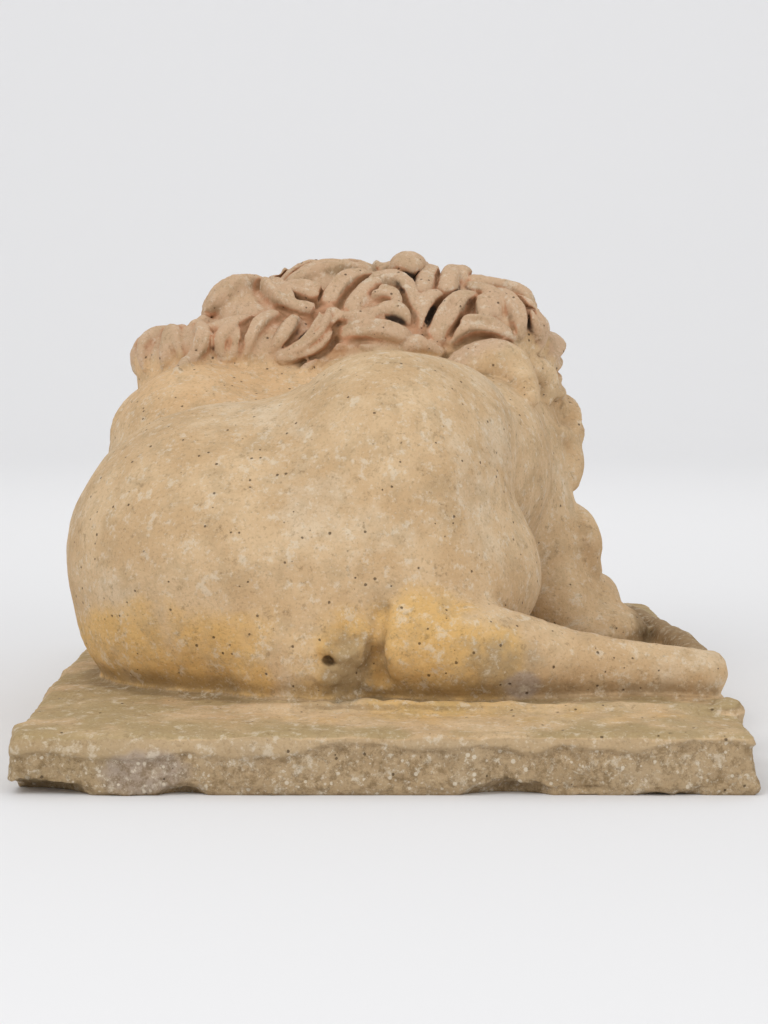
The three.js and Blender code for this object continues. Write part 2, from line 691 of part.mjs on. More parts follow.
// Triangles of the surface where the clay's distance is zero
function skinOf(clay) {
  const points = [];
  const faces = [];
  const made = new Map();
  const [ni, nj, nk] = clay.count;

  function crossing(cell, a, b) {
    const from = Math.min(a, b);
    const step = Math.max(a, b) - from;
    const [i, j, k] = [cell[0] + (from & 1), cell[1] + (from >> 1 & 1), cell[2] + (from >> 2)];
    const node = clay.index(i, j, k);
    const key = node * 8 + step;
    if (!made.has(key)) {
      const far = [i + (step & 1), j + (step >> 1 & 1), k + (step >> 2)];
      const level = clay.field[node];
      const t = THREE.MathUtils.clamp(level / (level - clay.field[clay.index(...far)]), 0.04, 0.96);
      made.set(key, points.length);
      const place = new THREE.Vector3(...clay.place(i, j, k));
      points.push(place.lerp(new THREE.Vector3(...clay.place(...far)), t));
    }
    return made.get(key);
  }

  function addFace(a, b, c, outward) {
    const across = points[b].clone().sub(points[a]).cross(points[c].clone().sub(points[a]));
    faces.push(across.dot(outward) < 0 ? [a, c, b] : [a, b, c]);
  }

  function middle(corners) {
    const sum = new THREE.Vector3();
    corners.forEach((corner) => sum.add(new THREE.Vector3(corner & 1, corner >> 1 & 1, corner >> 2)));
    return sum.divideScalar(corners.length);
  }

  for (let i = 0; i < ni - 1; i += 1) {
    for (let j = 0; j < nj - 1; j += 1) {
      for (let k = 0; k < nk - 1; k += 1) {
        const cell = [i, j, k];
        const solid = [0, 1, 2, 3, 4, 5, 6, 7].map((corner) =>
          clay.field[clay.index(i + (corner & 1), j + (corner >> 1 & 1), k + (corner >> 2))] < 0);
        if (solid.every((value) => value === solid[0])) {
          continue;
        }
        for (const tetrahedron of TETRAHEDRA) {
          const inner = tetrahedron.filter((corner) => solid[corner]);
          const outer = tetrahedron.filter((corner) => !solid[corner]);
          if (inner.length === 0 || outer.length === 0) {
            continue;
          }
          const outward = middle(outer).sub(middle(inner));
          if (inner.length === 2) {
            const a = crossing(cell, inner[0], outer[0]);
            const b = crossing(cell, inner[0], outer[1]);
            const c = crossing(cell, inner[1], outer[1]);
            const d = crossing(cell, inner[1], outer[0]);
            addFace(a, b, c, outward);
            addFace(a, c, d, outward);
          } else {
            const [tip, rest] = inner.length === 1 ? [inner[0], outer] : [outer[0], inner];
            addFace(...rest.map((corner) => crossing(cell, tip, corner)), outward);
          }
        }
      }
    }
  }
  return { points, faces };
}

// The largest connected skin, which leaves out pockets closed off inside the clay
function largestSkin({ points, faces }) {
  const leader = points.map((_, index) => index);
  const find = (start) => {
    let index = start;
    while (leader[index] !== index) {
      leader[index] = leader[leader[index]];
      index = leader[index];
    }
    return index;
  };
  faces.forEach(([a, b, c]) => {
    leader[find(a)] = find(b);
    leader[find(b)] = find(c);
  });
  const sizes = new Map();
  faces.forEach(([a]) => sizes.set(find(a), (sizes.get(find(a)) ?? 0) + 1));
  const [largest] = [...sizes].reduce((best, entry) => (entry[1] > best[1] ? entry : best));
  return { points, faces: faces.filter(([a]) => find(a) === largest) };
}

// A heap of edges, cheapest first
class Queue {
  constructor() {
    this.items = [];
  }

  push(item) {
    const { items } = this;
    let place = items.push(item) - 1;
    while (place > 0) {
      const parent = place - 1 >> 1;
      if (items[parent].cost <= item.cost) {
        break;
      }
      items[place] = items[parent];
      place = parent;
    }
    items[place] = item;
  }

  pop() {
    const { items } = this;
    const first = items[0];
    const item = items.pop();
    let place = 0;
    while (items.length > 0) {
      let child = 2 * place + 1;
      if (child + 1 < items.length && items[child + 1].cost < items[child].cost) {
        child += 1;
      }
      if (child >= items.length || items[child].cost >= item.cost) {
        items[place] = item;
        break;
      }
      items[place] = items[child];
      place = child;
    }
    return first;
  }
}

// Sum of squared distances to planes, as the ten terms of a symmetric matrix
function planeTerms(normal, offset, weight) {
  const { x, y, z } = normal;
  return [x * x, x * y, x * z, x * offset, y * y, y * z, y * offset, z * z, z * offset, offset * offset]
    .map((term) => term * weight);
}

function planeError(q, { x, y, z }) {
  return q[0] * x * x + q[4] * y * y + q[7] * z * z + q[9]
    + 2 * (q[1] * x * y + q[2] * x * z + q[5] * y * z + q[3] * x + q[6] * y + q[8] * z);
}

// The point nearest to all the planes, held lightly to a given point
function bestPoint(q, near, hold) {
  const m = new THREE.Matrix3().set(
    q[0] + hold, q[1], q[2],
    q[1], q[4] + hold, q[5],
    q[2], q[5], q[7] + hold,
  );
  const pull = near.clone().multiplyScalar(hold);
  return new THREE.Vector3(pull.x - q[3], pull.y - q[6], pull.z - q[8]).applyMatrix3(m.invert());
}

// Thin the skin to a number of triangles by closing up the edges that change its shape least
function thin({ points, faces }, target) {
  const around = points.map(() => new Set());
  const terms = points.map(() => new Array(10).fill(0));
  const areas = points.map(() => 0);
  const stamp = points.map(() => 0);
  const alive = faces.map(() => true);
  let left = faces.length;

  const cross = (a, b, c) => b.clone().sub(a).cross(c.clone().sub(a));
  faces.forEach((face, index) => {
    const normal = cross(...face.map((corner) => points[corner]));
    const area = normal.length() / 2;
    normal.normalize();
    const plane = planeTerms(normal, -normal.dot(points[face[0]]), area);
    face.forEach((corner) => {
      around[corner].add(index);
      areas[corner] += area;
      plane.forEach((term, place) => {
        terms[corner][place] += term;
      });
    });
  });

  const neighbours = (corner) => {
    const found = new Set();
    around[corner].forEach((index) => faces[index].forEach((other) => found.add(other)));
    found.delete(corner);
    return found;
  };

  const queue = new Queue();
  const offer = (a, b) => {
    const sum = terms[a].map((term, place) => term + terms[b][place]);
    const middle = points[a].clone().add(points[b]).multiplyScalar(0.5);
    const place = bestPoint(sum, middle, HOLD * (areas[a] + areas[b]));
    place.z = Math.max(place.z, 0);
    const spread = points[a].distanceToSquared(points[b]) * (areas[a] + areas[b]);
    queue.push({ cost: planeError(sum, place) + EVENNESS * spread, a, b, place, stamp: stamp[a] + stamp[b] });
  };

  // How far a triangle is from a sliver, by its doubled area and longest side
  const fullness = (corners, doubled) => {
    const [a, b, c] = corners;
    return doubled / Math.max(a.distanceToSquared(b), b.distanceToSquared(c), c.distanceToSquared(a));
  };

  // Whether moving a corner to a new place turns over or flattens one of its triangles
  const folds = (corner, other, place) => [...around[corner]].some((index) => {
    const face = faces[index];
    if (face.includes(other)) {
      return false;
    }
    const corners = face.map((each) => points[each]);
    const moved = face.map((each) => (each === corner ? place : points[each]));
    const before = cross(...corners);
    const after = cross(...moved);
    const full = fullness(moved, after.length());
    const flat = full < LEAST_FULLNESS && full < fullness(corners, before.length());
    return flat || before.dot(after) < LEAST_AGREEMENT * before.length() * after.length();
  });

  const close = (a, b, place) => {
    [...around[b]].forEach((index) => {
      if (faces[index].includes(a)) {
        alive[index] = false;
        left -= 1;
        faces[index].forEach((corner) => around[corner].delete(index));
      } else {
        faces[index] = faces[index].map((corner) => (corner === b ? a : corner));
        around[a].add(index);
      }
    });
    around[b].clear();
    points[a].copy(place);
    terms[a] = terms[a].map((term, index) => term + terms[b][index]);
    areas[a] += areas[b];
    stamp[a] += stamp[b] + 1;
    neighbours(a).forEach((corner) => offer(a, corner));
  };

  faces.forEach((face) => face.forEach((a, place) => {
    const b = face[(place + 1) % 3];
    if (a < b) {
      offer(a, b);
    }
  }));
  while (left > target && queue.items.length > 0) {
    const { a, b, place, stamp: seen } = queue.pop();
    if (around[a].size > 0 && around[b].size > 0 && seen === stamp[a] + stamp[b]) {
      const others = neighbours(b);
      const shared = [...neighbours(a)].filter((corner) => others.has(corner));
      if (shared.length === 2 && !folds(a, b, place) && !folds(b, a, place)) {
        close(a, b, place);
      }
    }
  }
  return { points, faces: faces.filter((_, index) => alive[index]) };
}

// A geometry of the corners that the triangles use, with the underside brought exactly to the ground
function geometryOf({ points, faces }) {
  const number = new Map();
  const positions = [];
  const index = faces.flat().map((corner) => {
    if (!number.has(corner)) {
      number.set(corner, number.size);
      const { x, y, z } = points[corner];
      positions.push(x, y, z < FLAT ? 0 : z);
    }
    return number.get(corner);
  });
  const geometry = new THREE.BufferGeometry();
  geometry.setAttribute('position', new THREE.Float32BufferAttribute(positions, 3));
  geometry.setIndex(index);
  geometry.computeVertexNormals();
  return geometry;
}

const stone = new THREE.MeshStandardMaterial({ color: STONE_COLOUR, roughness: 0.9, metalness: 0 });
const skin = thin(largestSkin(skinOf(sculpt())), FACES);
const lion = new THREE.Mesh(geometryOf(skin), stone);
lion.name = 'lion';

const sculpture = new THREE.Group();
sculpture.add(lion);

export default sculpture;
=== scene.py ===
"""A weathered lion lying on its slab, cast in one piece, seen from behind.

Shapes are worked out in millimetres in the frame of the solid: the lion faces +Y, Z is up.
"""
import math

import bpy
import numpy as np
import openvdb
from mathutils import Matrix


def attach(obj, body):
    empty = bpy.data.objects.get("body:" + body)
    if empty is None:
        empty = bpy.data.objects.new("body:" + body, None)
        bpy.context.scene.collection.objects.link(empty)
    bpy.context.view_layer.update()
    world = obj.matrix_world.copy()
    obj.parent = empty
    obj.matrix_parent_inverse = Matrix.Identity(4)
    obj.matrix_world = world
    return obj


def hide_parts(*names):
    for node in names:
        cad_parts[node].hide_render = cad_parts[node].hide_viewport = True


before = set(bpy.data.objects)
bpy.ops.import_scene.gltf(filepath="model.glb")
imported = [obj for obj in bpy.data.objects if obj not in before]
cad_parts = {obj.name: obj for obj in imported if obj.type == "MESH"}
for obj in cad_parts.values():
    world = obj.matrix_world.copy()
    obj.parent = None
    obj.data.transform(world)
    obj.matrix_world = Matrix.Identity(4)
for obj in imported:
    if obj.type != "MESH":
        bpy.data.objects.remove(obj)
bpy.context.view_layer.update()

METRES = 0.001

# Driving sizes of the casting
WIDTH = 400.0
LENGTH = 620.0
HEIGHT = 292.0

# The slab, whose top falls away a little towards its edges
SLAB_TOP = 36.0
SLAB_ROUND = 6.0
SLAB_LEAN = 2.5
SLAB_DROP = 4.0
SLAB_DROP_REACH = 70.0
SLAB_BLEND = 9

# How high the broken face of the slab's sides reaches on the left and on the right, and where it rises
BREAK_LOW = 21.0
BREAK_HIGH = 27.0
BREAK_RISE = (-90, 0)
BREAK_SOFT = (-1.0, 1.5)
BREAK_DEPTH = 1.8

# The sculpting grid, and the most triangles the finished skin keeps
CELL = 1.6
MARGIN = 14.0
FAR = 60.0
REACH = 9.0
NORMAL_REACH = 6.0
MOST_TRIANGLES = 190000
FLAT = 0.4

# Places that other shapes are measured from
NECK = np.array([0.0, 118.0, 182.0])
HEAD_X = 12.0

# Rounded masses: what it is, centre, radii, blend into what is already there
HINDQUARTERS = [
    ("rump", (-90, -90, 106), (100, 116, 92), 0),
    ("seat on the slab", (-88, -92, 66), (89, 108, 54), 18),
    ("right hip", (2, -105, 142), (74, 98, 88), 34),
    ("back of the thighs", (-42, -104, 98), (104, 112, 78), 30),
    ("right thigh", (10, -128, 92), (74, 84, 60), 22),
    ("right knee", (54, -110, 100), (38, 50, 40), 16),
    ("right flank", (34, -75, 176), (46, 70, 46), 16),
]

TRUNK = [
    ("barrel", (-50, 0, 108), (125, 150, 90), 14),
    ("left side of the back", (-120, 40, 152), (58, 85, 66), 20),
    ("withers", (-55, 70, 130), (105, 75, 92), 20),
    ("breast", (-24, 100, 112), (124, 100, 94), 30),
    ("right shoulder", (58, 85, 130), (46, 62, 75), 22),
    ("right side behind the shoulder", (62, 48, 150), (46, 100, 62), 26),
    ("left shoulder", (-122, 80, 125), (46, 65, 80), 25),
]

NECK_MASSES = [
    ("crown", (0, 118, 211), (76, 74, 65), 20),
    ("crown, left", (-60, 106, 214), (57, 54, 52), 12),
    ("cape over the left shoulder", (-105, 84, 208), (58, 38, 32), 10),
    ("crown, right", (55, 108, 211), (51, 58, 51), 12),
    ("collar, right", (62, 108, 160), (58, 62, 62), 15),
    ("mane on the breast", (2, 150, 112), (98, 76, 84), 20),
    ("skull", (HEAD_X, 186, 214), (54, 56, 50), 15),
]

# Humps of the mane, seen from behind
MANE_HUMPS = [
    ("over the left shoulder", (-90, 95, 245), (25, 28, 20), 8),
    ("left of the crown", (-30, 115, 250), (44, 36, 28), 8),
    ("right of the crown", (44, 112, 252), (26, 30, 22), 8),
    ("right end", (74, 106, 234), (34, 44, 30), 10),
    ("knob", (16, 104, 279), (13, 13, 12), 3),
]

# Limbs: what it is, blend, then points along it with its radius there
FORELEGS = [
    ("right upper arm", 14, (84, 78, 132, 40), (101, 64, 95, 29), (106, 58, 66, 26)),
    ("right forearm", 12, (112, 50, 58, 25), (134, 90, 55, 25), (126, 180, 54, 22), (106, 240, 53, 21)),
    ("left upper arm", 18, (-130, 75, 130, 40), (-146, 60, 90, 30), (-150, 54, 64, 28)),
    ("left forearm", 12, (-148, 48, 62, 29), (-140, 100, 57, 27), (-100, 190, 54, 22), (-76, 242, 53, 21)),
]
ELBOW = ("right elbow", (136, 60, 44), (36, 38, 18), 10)

FRINGE_ROLL = (
    "roll that the fringe hangs on", 8,
    (-148, 76, 221, 14), (-122, 63, 223, 19), (-85, 62, 226, 20), (-45, 74, 228, 18),
)

MUZZLE = [
    ("jaws", 10, (HEAD_X, 216, 212, 38), (HEAD_X, 250, 199, 30), (HEAD_X, 266, 193, 26)),
    ("bridge of the nose", 8, (HEAD_X, 220, 246, 20), (HEAD_X, 252, 228, 17), (HEAD_X, 276, 215, 13)),
]

# The face: rounded masses on its middle line
CHIN = ("chin", (HEAD_X, 264, 168), (19, 18, 13), 6)
NOSE = ("nose", (HEAD_X, 283, 209), (17, 12, 9), 3)

# The face and ears: offset each side of the middle, y, z, radii, turn in degrees, blend
SIDES = (-1, 1)
EYE_OFFSET = 25
CHEEK = (38, 208, 204, (22, 26, 28), 0, 10)
WHISKER_PAD = (15, 270, 192, (18, 20, 16), 0, 5)
BROW = (EYE_OFFSET, 229, 242, (20, 14, 8), -18, 7)
SOCKET = (EYE_OFFSET, 251, 228, (15, 14, 9), 0, 4)
EYEBALL = (EYE_OFFSET, 238, 228, (9, 8, 8), 0, 0.5)
NOSTRIL = (9, 294, 205, (4, 5, 3), 0, 2)
EAR = (52, 196, 254, (16, 10, 16), 24, 4)
EAR_HOLLOW = (54, 207, 255, (9, 8, 10), 24, 3)

# Eyelids: offset, y, z and radius at the eye's corners, then y, z and radius at each lid's middle
LID_CORNER = (13, 242, 227, 2)
LIDS = [(247, 236, 3), (247, 220, 2.5)]
LID_BLEND = 1.5

# The mouth from its middle to its corner, as offset, y, z and radius, and the groove above it
MOUTH = [(0, 290, 187, 2.5), (7, 288, 180, 3), (20, 276, 178, 3), (32, 254, 187, 2)]
GROOVE = [(0, 294, 200, 1.5), (0, 292, 187, 2)]
MOUTH_BLEND = 2

HOCK = ("hock", (-42, -186, 60), (44, 40, 42), 20)
HIND_FOOT = (
    "right hind foot", 6, (10, -190, 68, 34), (45, -197, 62, 31), (80, -194, 57, 24),
    (125, -188, 52, 18), (183, -183, 47.5, 13),
)
HIND_FOOT_STEPS = 24

# The crease beside the hock: x and z as it shows from behind, and its radius
HOCK_CREASE = [(0, 90, 2), (-4, 76, 5), (-5, 62, 7), (-3, 48, 6)]
CREASE_BLEND = 4

TAIL = [
    ("tail along the right edge", 6, (60, -112, 46, 14), (112, -128, 44, 13), (164, -122, 42, 12),
     (187, -88, 40, 10), (188, -20, 40, 10), (183, 60, 39, 9), (174, 128, 39, 9)),
    ("tuft of the tail", 3, (174, 118, 39, 9), (168, 150, 40, 9), (158, 172, 38, 7)),
]

# The slab's worn places: a lip before the foot, a lump, chips along its lower edge, a hole in the hock
LIP = (
    "lip before the hind foot", 5,
    (-84, -243, 29, 6), (-40, -242, 33, 7.5), (40, -243, 33, 7.5), (190, -240, 32, 6),
)
LUMP = ("lump on the right edge", (189, -234, 34), (10, 15, 7), 4)
CHIPS = [
    ("left corner", (-200, -312, -1), (44, 30, 7), 3),
    ("left of the middle", (-106, -312, 0), (13, 14, 6), 3),
    ("right of the middle", (64, -312, 0), (24, 16, 6), 3),
    ("right end", (150, -312, -1), (20, 12, 4), 2),
]
HOCK_HOLE = ("hole in the hock", (-30, -224, 60), (4, 9, 3.5), 2)

# Front paws: centre x and y, and how far each is turned, in degrees
PAWS = [(106, 252, -12), (-74, 254, 20)]
PAW_HEIGHT = 46
PAW_SET_BACK = 4
PAW_RADII = (27, 22, 18)
PAW_BLEND = 8
TOES = 4
TOE_PITCH = 13
TOE_REACH = 8
TOE_ARCH = 3
TOE_RADII = (9, 20, 14)
TOE_BLEND = 3

# Locks as they show from behind: x and z of their start, middle and end, width, strands
FRINGE_LOCKS = [
    ((-124, 243), (-156, 241), (-169, 212), 9.6, 1),
    ((-133, 241), (-153, 233), (-156, 214), 9.6, 1),
    ((-118, 240), (-117, 229), (-131, 214), 13.1, 2),
    ((-137, 233), (-139, 225), (-142, 214), 6.1, 1),
    ((-142, 218), (-138, 239), (-130, 221), 7.8, 1),
    ((-82, 245), (-103, 235), (-102, 220), 9.6, 1),
    ((-82, 242), (-93, 233), (-98, 221), 7.8, 1),
    ((-110, 241), (-95, 243), (-76, 248), 7.8, 1),
    ((-67, 250), (-82, 240), (-89, 224), 10.4, 2),
    ((-58, 247), (-64, 237), (-72, 226), 9.6, 1),
    ((-9, 229), (-19, 231), (-28, 225), 9.6, 1),
    ((-21, 232), (-38, 227), (-51, 213), 12.2, 2),
    ((-36, 252), (-42, 234), (-66, 221), 18.3, 3),
]
LEFT_LOCKS = [
    ((-95, 271), (-112, 259), (-123, 244), 15, 1),
    ((-82, 268), (-70, 259), (-58, 251), 20, 1),
    ((-82, 269), (-97, 263), (-115, 244), 20, 2),
    ((-34, 253), (-51, 251), (-63, 254), 11, 1),
    ((-34, 259), (-53, 260), (-68, 264), 17, 1),
]
CROWN_LOCKS = [
    ((-65, 269), (-53, 280), (-32, 282), 17, 2),
    ((-36, 283), (-22, 287), (-8, 283), 15, 1),
    ((-61, 267), (-40, 275), (-11, 277), 16, 2),
    ((-36, 254), (-25, 268), (-7, 272), 15, 2),
    ((-25, 236), (-2, 238), (18, 230), 15, 1),
    ((-40, 249), (-25, 247), (-6, 246), 10, 1),
    ((-14, 258), (0, 261), (14, 253), 13, 2),
    ((-4, 250), (8, 250), (20, 241), 11, 1),
    ((-21, 253), (8, 271), (24, 234), 14, 2),
    ((15, 228), (27, 230), (39, 222), 9, 1),
]
RIGHT_LOCKS = [
    ((44, 235), (61, 240), (82, 234), 17, 1),
    ((27, 241), (30, 257), (42, 253), 13, 1),
    ((25, 263), (33, 276), (42, 264), 14, 1),
    ((42, 264), (49, 278), (59, 264), 15, 1),
    ((63, 269), (78, 271), (94, 260), 13, 1),
    ((84, 258), (94, 246), (101, 226), 15, 2),
    ((61, 268), (84, 266), (97, 249), 16, 2),
    ((73, 262), (84, 250), (87, 235), 14, 2),
    ((59, 265), (69, 259), (73, 248), 12, 1),
    ((57, 258), (65, 252), (65, 241), 11, 1),
    ((34, 236), (45, 250), (57, 259), 18, 2),
    ((94, 248), (103, 240), (98, 224), 9, 1),
]
# Soft locks down the right side, from their lower tips up
SIDE_DROPS = [
    ((122, 178), (116, 198), (104, 216), 18, 1),
    ((129, 141), (125, 158), (114, 172), 20, 1),
    ((140, 88), (137, 103), (129, 119), 24, 1),
]
COLLAR_LOBES = [
    ((50, 212), (74, 213), (91, 195), 29, 1),
    ((98, 214), (105, 205), (105, 192), 17, 1),
]

# Tiers of locks around the face, by their angle from straight back, and the lock made there
FACE_TIERS = (98, 108, 118, 128, 138, 148)
TIER_RADIUS = 112
TIER_LOCK_LENGTH = 52
TIER_LOCK_WIDTH = 23
TIER_LOCK_PITCH = 22
TIER_STRANDS = 2
TIER_TILT = 6
TIER_BEND = 100
TIER_SWEEP = 0.6
TIER_SWEEP_SPREAD = 0.4
LEAST_SHARE = 0.85
SHARE_SPREAD = 0.3

# Where the tiers leave room: for the locks that show from behind, and for the face
BACK_POLAR = 112
BACK_CLOCK = (-75, 60)
FACE_POLAR = 142
FACE_CLOCK = 128

# Locks that hang over the left shoulder, in tiers
SIDE_TIERS = (98, 84)
SIDE_LOCKS = 5
SIDE_CLOCK = -80
SIDE_CLOCK_PITCH = 13
SIDE_TIER_SHIFT = 5
SIDE_HEADING = (0, -0.6, -1)
SIDE_LENGTH = 46
SIDE_WIDTH = 24
SIDE_BEND = 60

# How a lock is shaped: its width and its rise follow parts of a half wave, as start and span
LOWEST_LOCK = 50.0
STATIONS = 10
LOCK_STEPS = 12
LOCK_FLATNESS = 0.8
LOCK_BOW = 0.22
DROP_BOW = 0.12
LOCK_BLEND = 3.0
LOCK_FULLNESS = 1.15
LOCK_TAPER = (0.24, 0.67)
LOCK_TAPER_POWER = 0.7
LOCK_RISE = (0.06, 0.80)
LOCK_MOAT = 1.6
LOCK_MOAT_HEIGHT = 0.15
ROOT_DEPTH = 0.3
FLUTE_DEPTH = 0.55
STRAND_WIDTH = 7.0

# How places on the body are found: along rays from behind or from inside the neck, then by settling
HAIR_NEAREST = -20.0
DEEPEST = 150.0
NECK_REACH = (30.0, 220.0)
RAY_STEP = 2.0
DRAWN_SMOOTHINGS = 4
SETTLE_ROUNDS = 8
SETTLE_SHARE = 0.9

# How often the locks are rubbed soft, and the box that holds them
RUBS = 2
RUBBED_LOW = (-190, 20, 60)
RUBBED_HIGH = (160, 300, 300)

# Colours of the stone and what lies on it, as they show in soft light
BUFF = "C6A67E"
SAND = "D4B791"
WARM = "E0B788"
OCHRE = "DBAE62"
PALE = "DDD0BA"
MAUVE = "A89A90"
OLIVE = "A08C62"
BROWN = "7A6342"
GRIT = "AE9674"
ROSE = "C8A98C"
# Rust, for rust stain and painted shade in the mane's crevices
RUST_AND_SHADE = "C4805A"
# Near-black, for painted shade in the deepest hollows of the mane
SHADE_BLACK = "2A2520"
GREY = "8E8068"
DARK_PIT = "4A3A28"

# Hollows of the mane that get near-black painted shade, seen from behind: x, z, radius
SHADED_HOLLOWS = [
    (7, 244, 10), (28, 248, 9), (-109, 232, 8), (15, 270, 8), (52, 262, 7), (97, 242, 7), (-52, 236, 6),
]
SHADED_HOLLOW_Y = 80
SHADED_HOLLOW_REACH = 60

# Weathering and drifting noise: height, size of the lumps, seed, octaves
SKIN_WEAR = (0.8, 30.0, 1, 3)
SIDE_WEAR = (2.0, 34.0, 5, 2)
BREAK_WEAR = (1.7, 8.0, 9, 3)
LOW_WEAR = (0.8, 10.0, 13, 3)
HOCK_WEAR = (2.4, 9.0, 17, 3)
LEG_WEAR = (1.1, 17.0, 19, 3)
MANE_WEAR = (0.8, 10.0, 29, 3)
BREAK_WANDER = (4.0, 26.0, 41, 3)
WIDE_DRIFT = (1.0, 60.0, 21, 3)
FINE_DRIFT = (0.7, 24.0, 23, 3)
PALE_DRIFT = (1.0, 45.0, 25, 3)

# Places of wear, mane and stains: centre, radii, softness of the edge
WORN_HOCK = ((-20, -220, 54), (26, 34, 28), 0.5)
WORN_LEG = ((30, -214, 66), (90, 44, 40), 0.5)
FRINGE_PLACE = ((-84, 78, 236), (98, 50, 27), 0.35)
CROWN_PLACE = ((2, 118, 262), (128, 100, 50), 0.25)
FRONT_PLACE = ((2, 160, 220), (125, 80, 80), 0.25)
FACE_PLACE = ((HEAD_X, 250, 212), (58, 46, 56), 0.2)
COLLAR_PLACE = ((84, 62, 206), (42, 60, 25), 0.35)
BEFORE_FOOT = ((50, -262, 36), (150, 30, 30), 0.4)
LEFT_CORNER = ((-190, -300, 20), (70, 60, 40), 0.5)
WARM_SHOULDER = ((-100, 70, 200), (95, 110, 50), 0.5)
# Extra ochre low on the left of the rump: an ochre stain, laid on stronger as painted light where the rump
# turns down and away from the lamps
OCHRE_AND_LIGHT_RUMP = ((-130, -190, 62), (70, 60, 30), 0.5)
OCHRE_LEG = ((26, -225, 66), (50, 50, 34), 0.5)
GREY_HOCK = ((-20, -224, 54), (16, 40, 24), 0.9)
GREY_FOOT = ((62, -222, 58), (34, 30, 20), 0.9)
MAUVE_SLAB = ((-127, -308, 12), (26, 20, 14), 0.5)
MAUVE_FOOT = ((77, -220, 46), (13, 24, 9), 0.5)

# Soft steps, as start and end: by how far a face looks up, then by place or by height over the body
SIDE_FACES = (0.55, 0.9)
TOP_FACES = (0.5, 0.85)
CONTACT_FACES = ((0.1, 0.35), (0.8, 0.96))
SLAB_EDGE = (SLAB_TOP - 5, SLAB_TOP)
ABOVE_SLAB = (40, 52)
LOW_WEAR_FADE = (40.0, 100.0)
OCHRE_FADE = (45, 125)
HIND_FADE = (-130, -30)
RIGHT_FADE = (20, 90)
FRONT_FROM = (100, 130)
MANE_HEIGHTS = (185, 232)
LOCK_HEIGHTS = (0.8, 3.0)
# Where the painted shade along the lion's contact with the slab lies
CONTACT_FADE = (2, 9)
CONTACT_BEHIND = (-150, -60)
# Where the tail along the slab's right edge gets dirt and painted shade
TAIL_X = (150, 172)
TAIL_Y = (-150, -60)
TAIL_Z = ((37, 42), (60, 80))
REST_FADE = (0.0, 2.0)

# Shares of the stains: middle and swing where they drift, else a strength or a loss
OCHRE_PATCH = (0.85, 0.5)
LEG_PATCH = (0.5, 0.5)
PALE_PATCH = (0.5, 0.6)
OLIVE_PATCH = (0.85, 0.4)
# Strength of the ochre stain and painted light low on the left of the rump
RUMP_OCHRE_AND_LIGHT = 0.3
FRONT_OCHRE = 0.6
CORNER_OLIVE = 0.7
FOOT_GREY = 0.8
CROWN_SHARE = 0.85
LOW_MANE = 0.25
RIGHT_LOSS = 0.75
FRONT_OLIVE_LOSS = 0.45
COLLAR_LOSS = 0.75

# How far over the slab's top the line of contact with its painted shade lies, and how far from the surface
# hollows are judged for their dirt and painted shade
CONTACT_RISE = 4
CLOSE_REACH = 5.0
WIDE_REACH = 14.0

# The bare stone: size of its clouds, where one colour passes into the other
CLOUD_SIZE = 36
CLOUD_EDGE = (0.35, 0.65)

# Coats: mask, colour, size of the noise that breaks the edge, where it starts and is full, strength
COATS = [
    ("warm", WARM, 30, 0.3, 0.9, 0.45),
    ("pale", PALE, 9, 0.6, 1.1, 0.3),
    ("ochre", OCHRE, 16, 0.45, 0.95, 0.65),
    ("olive", OLIVE, 22, 0.35, 0.9, 0.75),
    ("grey", GREY, 8, 0.35, 0.9, 0.65),
    # Brown painted shade along the line where the lion sits on the slab
    ("contact_shade", BROWN, 12, 0.35, 0.9, 0.45),
    # Brown painted shade, with some dirt, in wide hollows off the mane
    ("hollow_shade_and_dirt", BROWN, 14, 0.35, 1.0, 0.5),
    ("mane", ROSE, 24, 0.3, 0.8, 0.85),
    # Brown painted shade in the wide gaps between the locks of the mane
    ("gap", BROWN, 10, 0.3, 0.85, 0.55),
    ("side", GRIT, 20, 0.4, 0.9, 0.7),
    ("mauve", MAUVE, 12, 0.4, 0.95, 0.65),
    # Brown dirt and painted shade on the tail along the slab's right edge
    ("tail_dirt_and_shade", BROWN, 20, 0.3, 0.8, 0.7),
]
COAT_SPREAD = 0.9

# Specks: colour, size, detail and roughness of the noise, where they start and are full, strength
SPECKS = [
    (GRIT, (17, 6.0, 0.7), (0.47, 0.66), 0.42),
    (PALE, (8, 8.0, 0.72), (0.53, 0.64), 0.5),
    (BROWN, (6, 6.0, 0.75), (0.55, 0.7), 0.5),
    (BROWN, (1.7, 3.0, 0.6), (0.5, 0.8), 0.4),
    (PALE, (2.3, 3.0, 0.6), (0.55, 0.8), 0.5),
]
BREAK_SPECKS = [
    (BROWN, (5, 8.0, 0.8), (0.48, 0.6), 0.6),
    (PALE, (4, 8.0, 0.8), (0.54, 0.64), 0.7),
]

# Coats in hollows: rust stain and painted shade in the mane's crevices, brown dirt and painted shade in
# all crevices, near-black painted shade in the mane's deepest hollows; each as colour, size, start, full,
# strength, spread of the noise
RUST_AND_SHADE_COAT = (RUST_AND_SHADE, 12, 0.25, 0.75, 0.6, 0.5)
DIRT_AND_SHADE_COAT = (BROWN, 7, 0.45, 1.1, 0.6, 0.5)
HOLLOW_SHADE_COAT = (SHADE_BLACK, 10, 0.3, 0.75, 0.9, 0.3)

# Grains and pits: pitch, share of cells left bare, greatest radius in pitches, soft edge, strength
GRAINS = (3.4, 0.6, 0.4, (-0.1, 0.02), 0.8)
PITS = (5, 0.45, 0.25, (-0.04, 0.03), 1.0)
PIT_NOISE = (0.8, 3.0)
PIT_RAGGED = 0.16
PIT_SHADE = 0.75

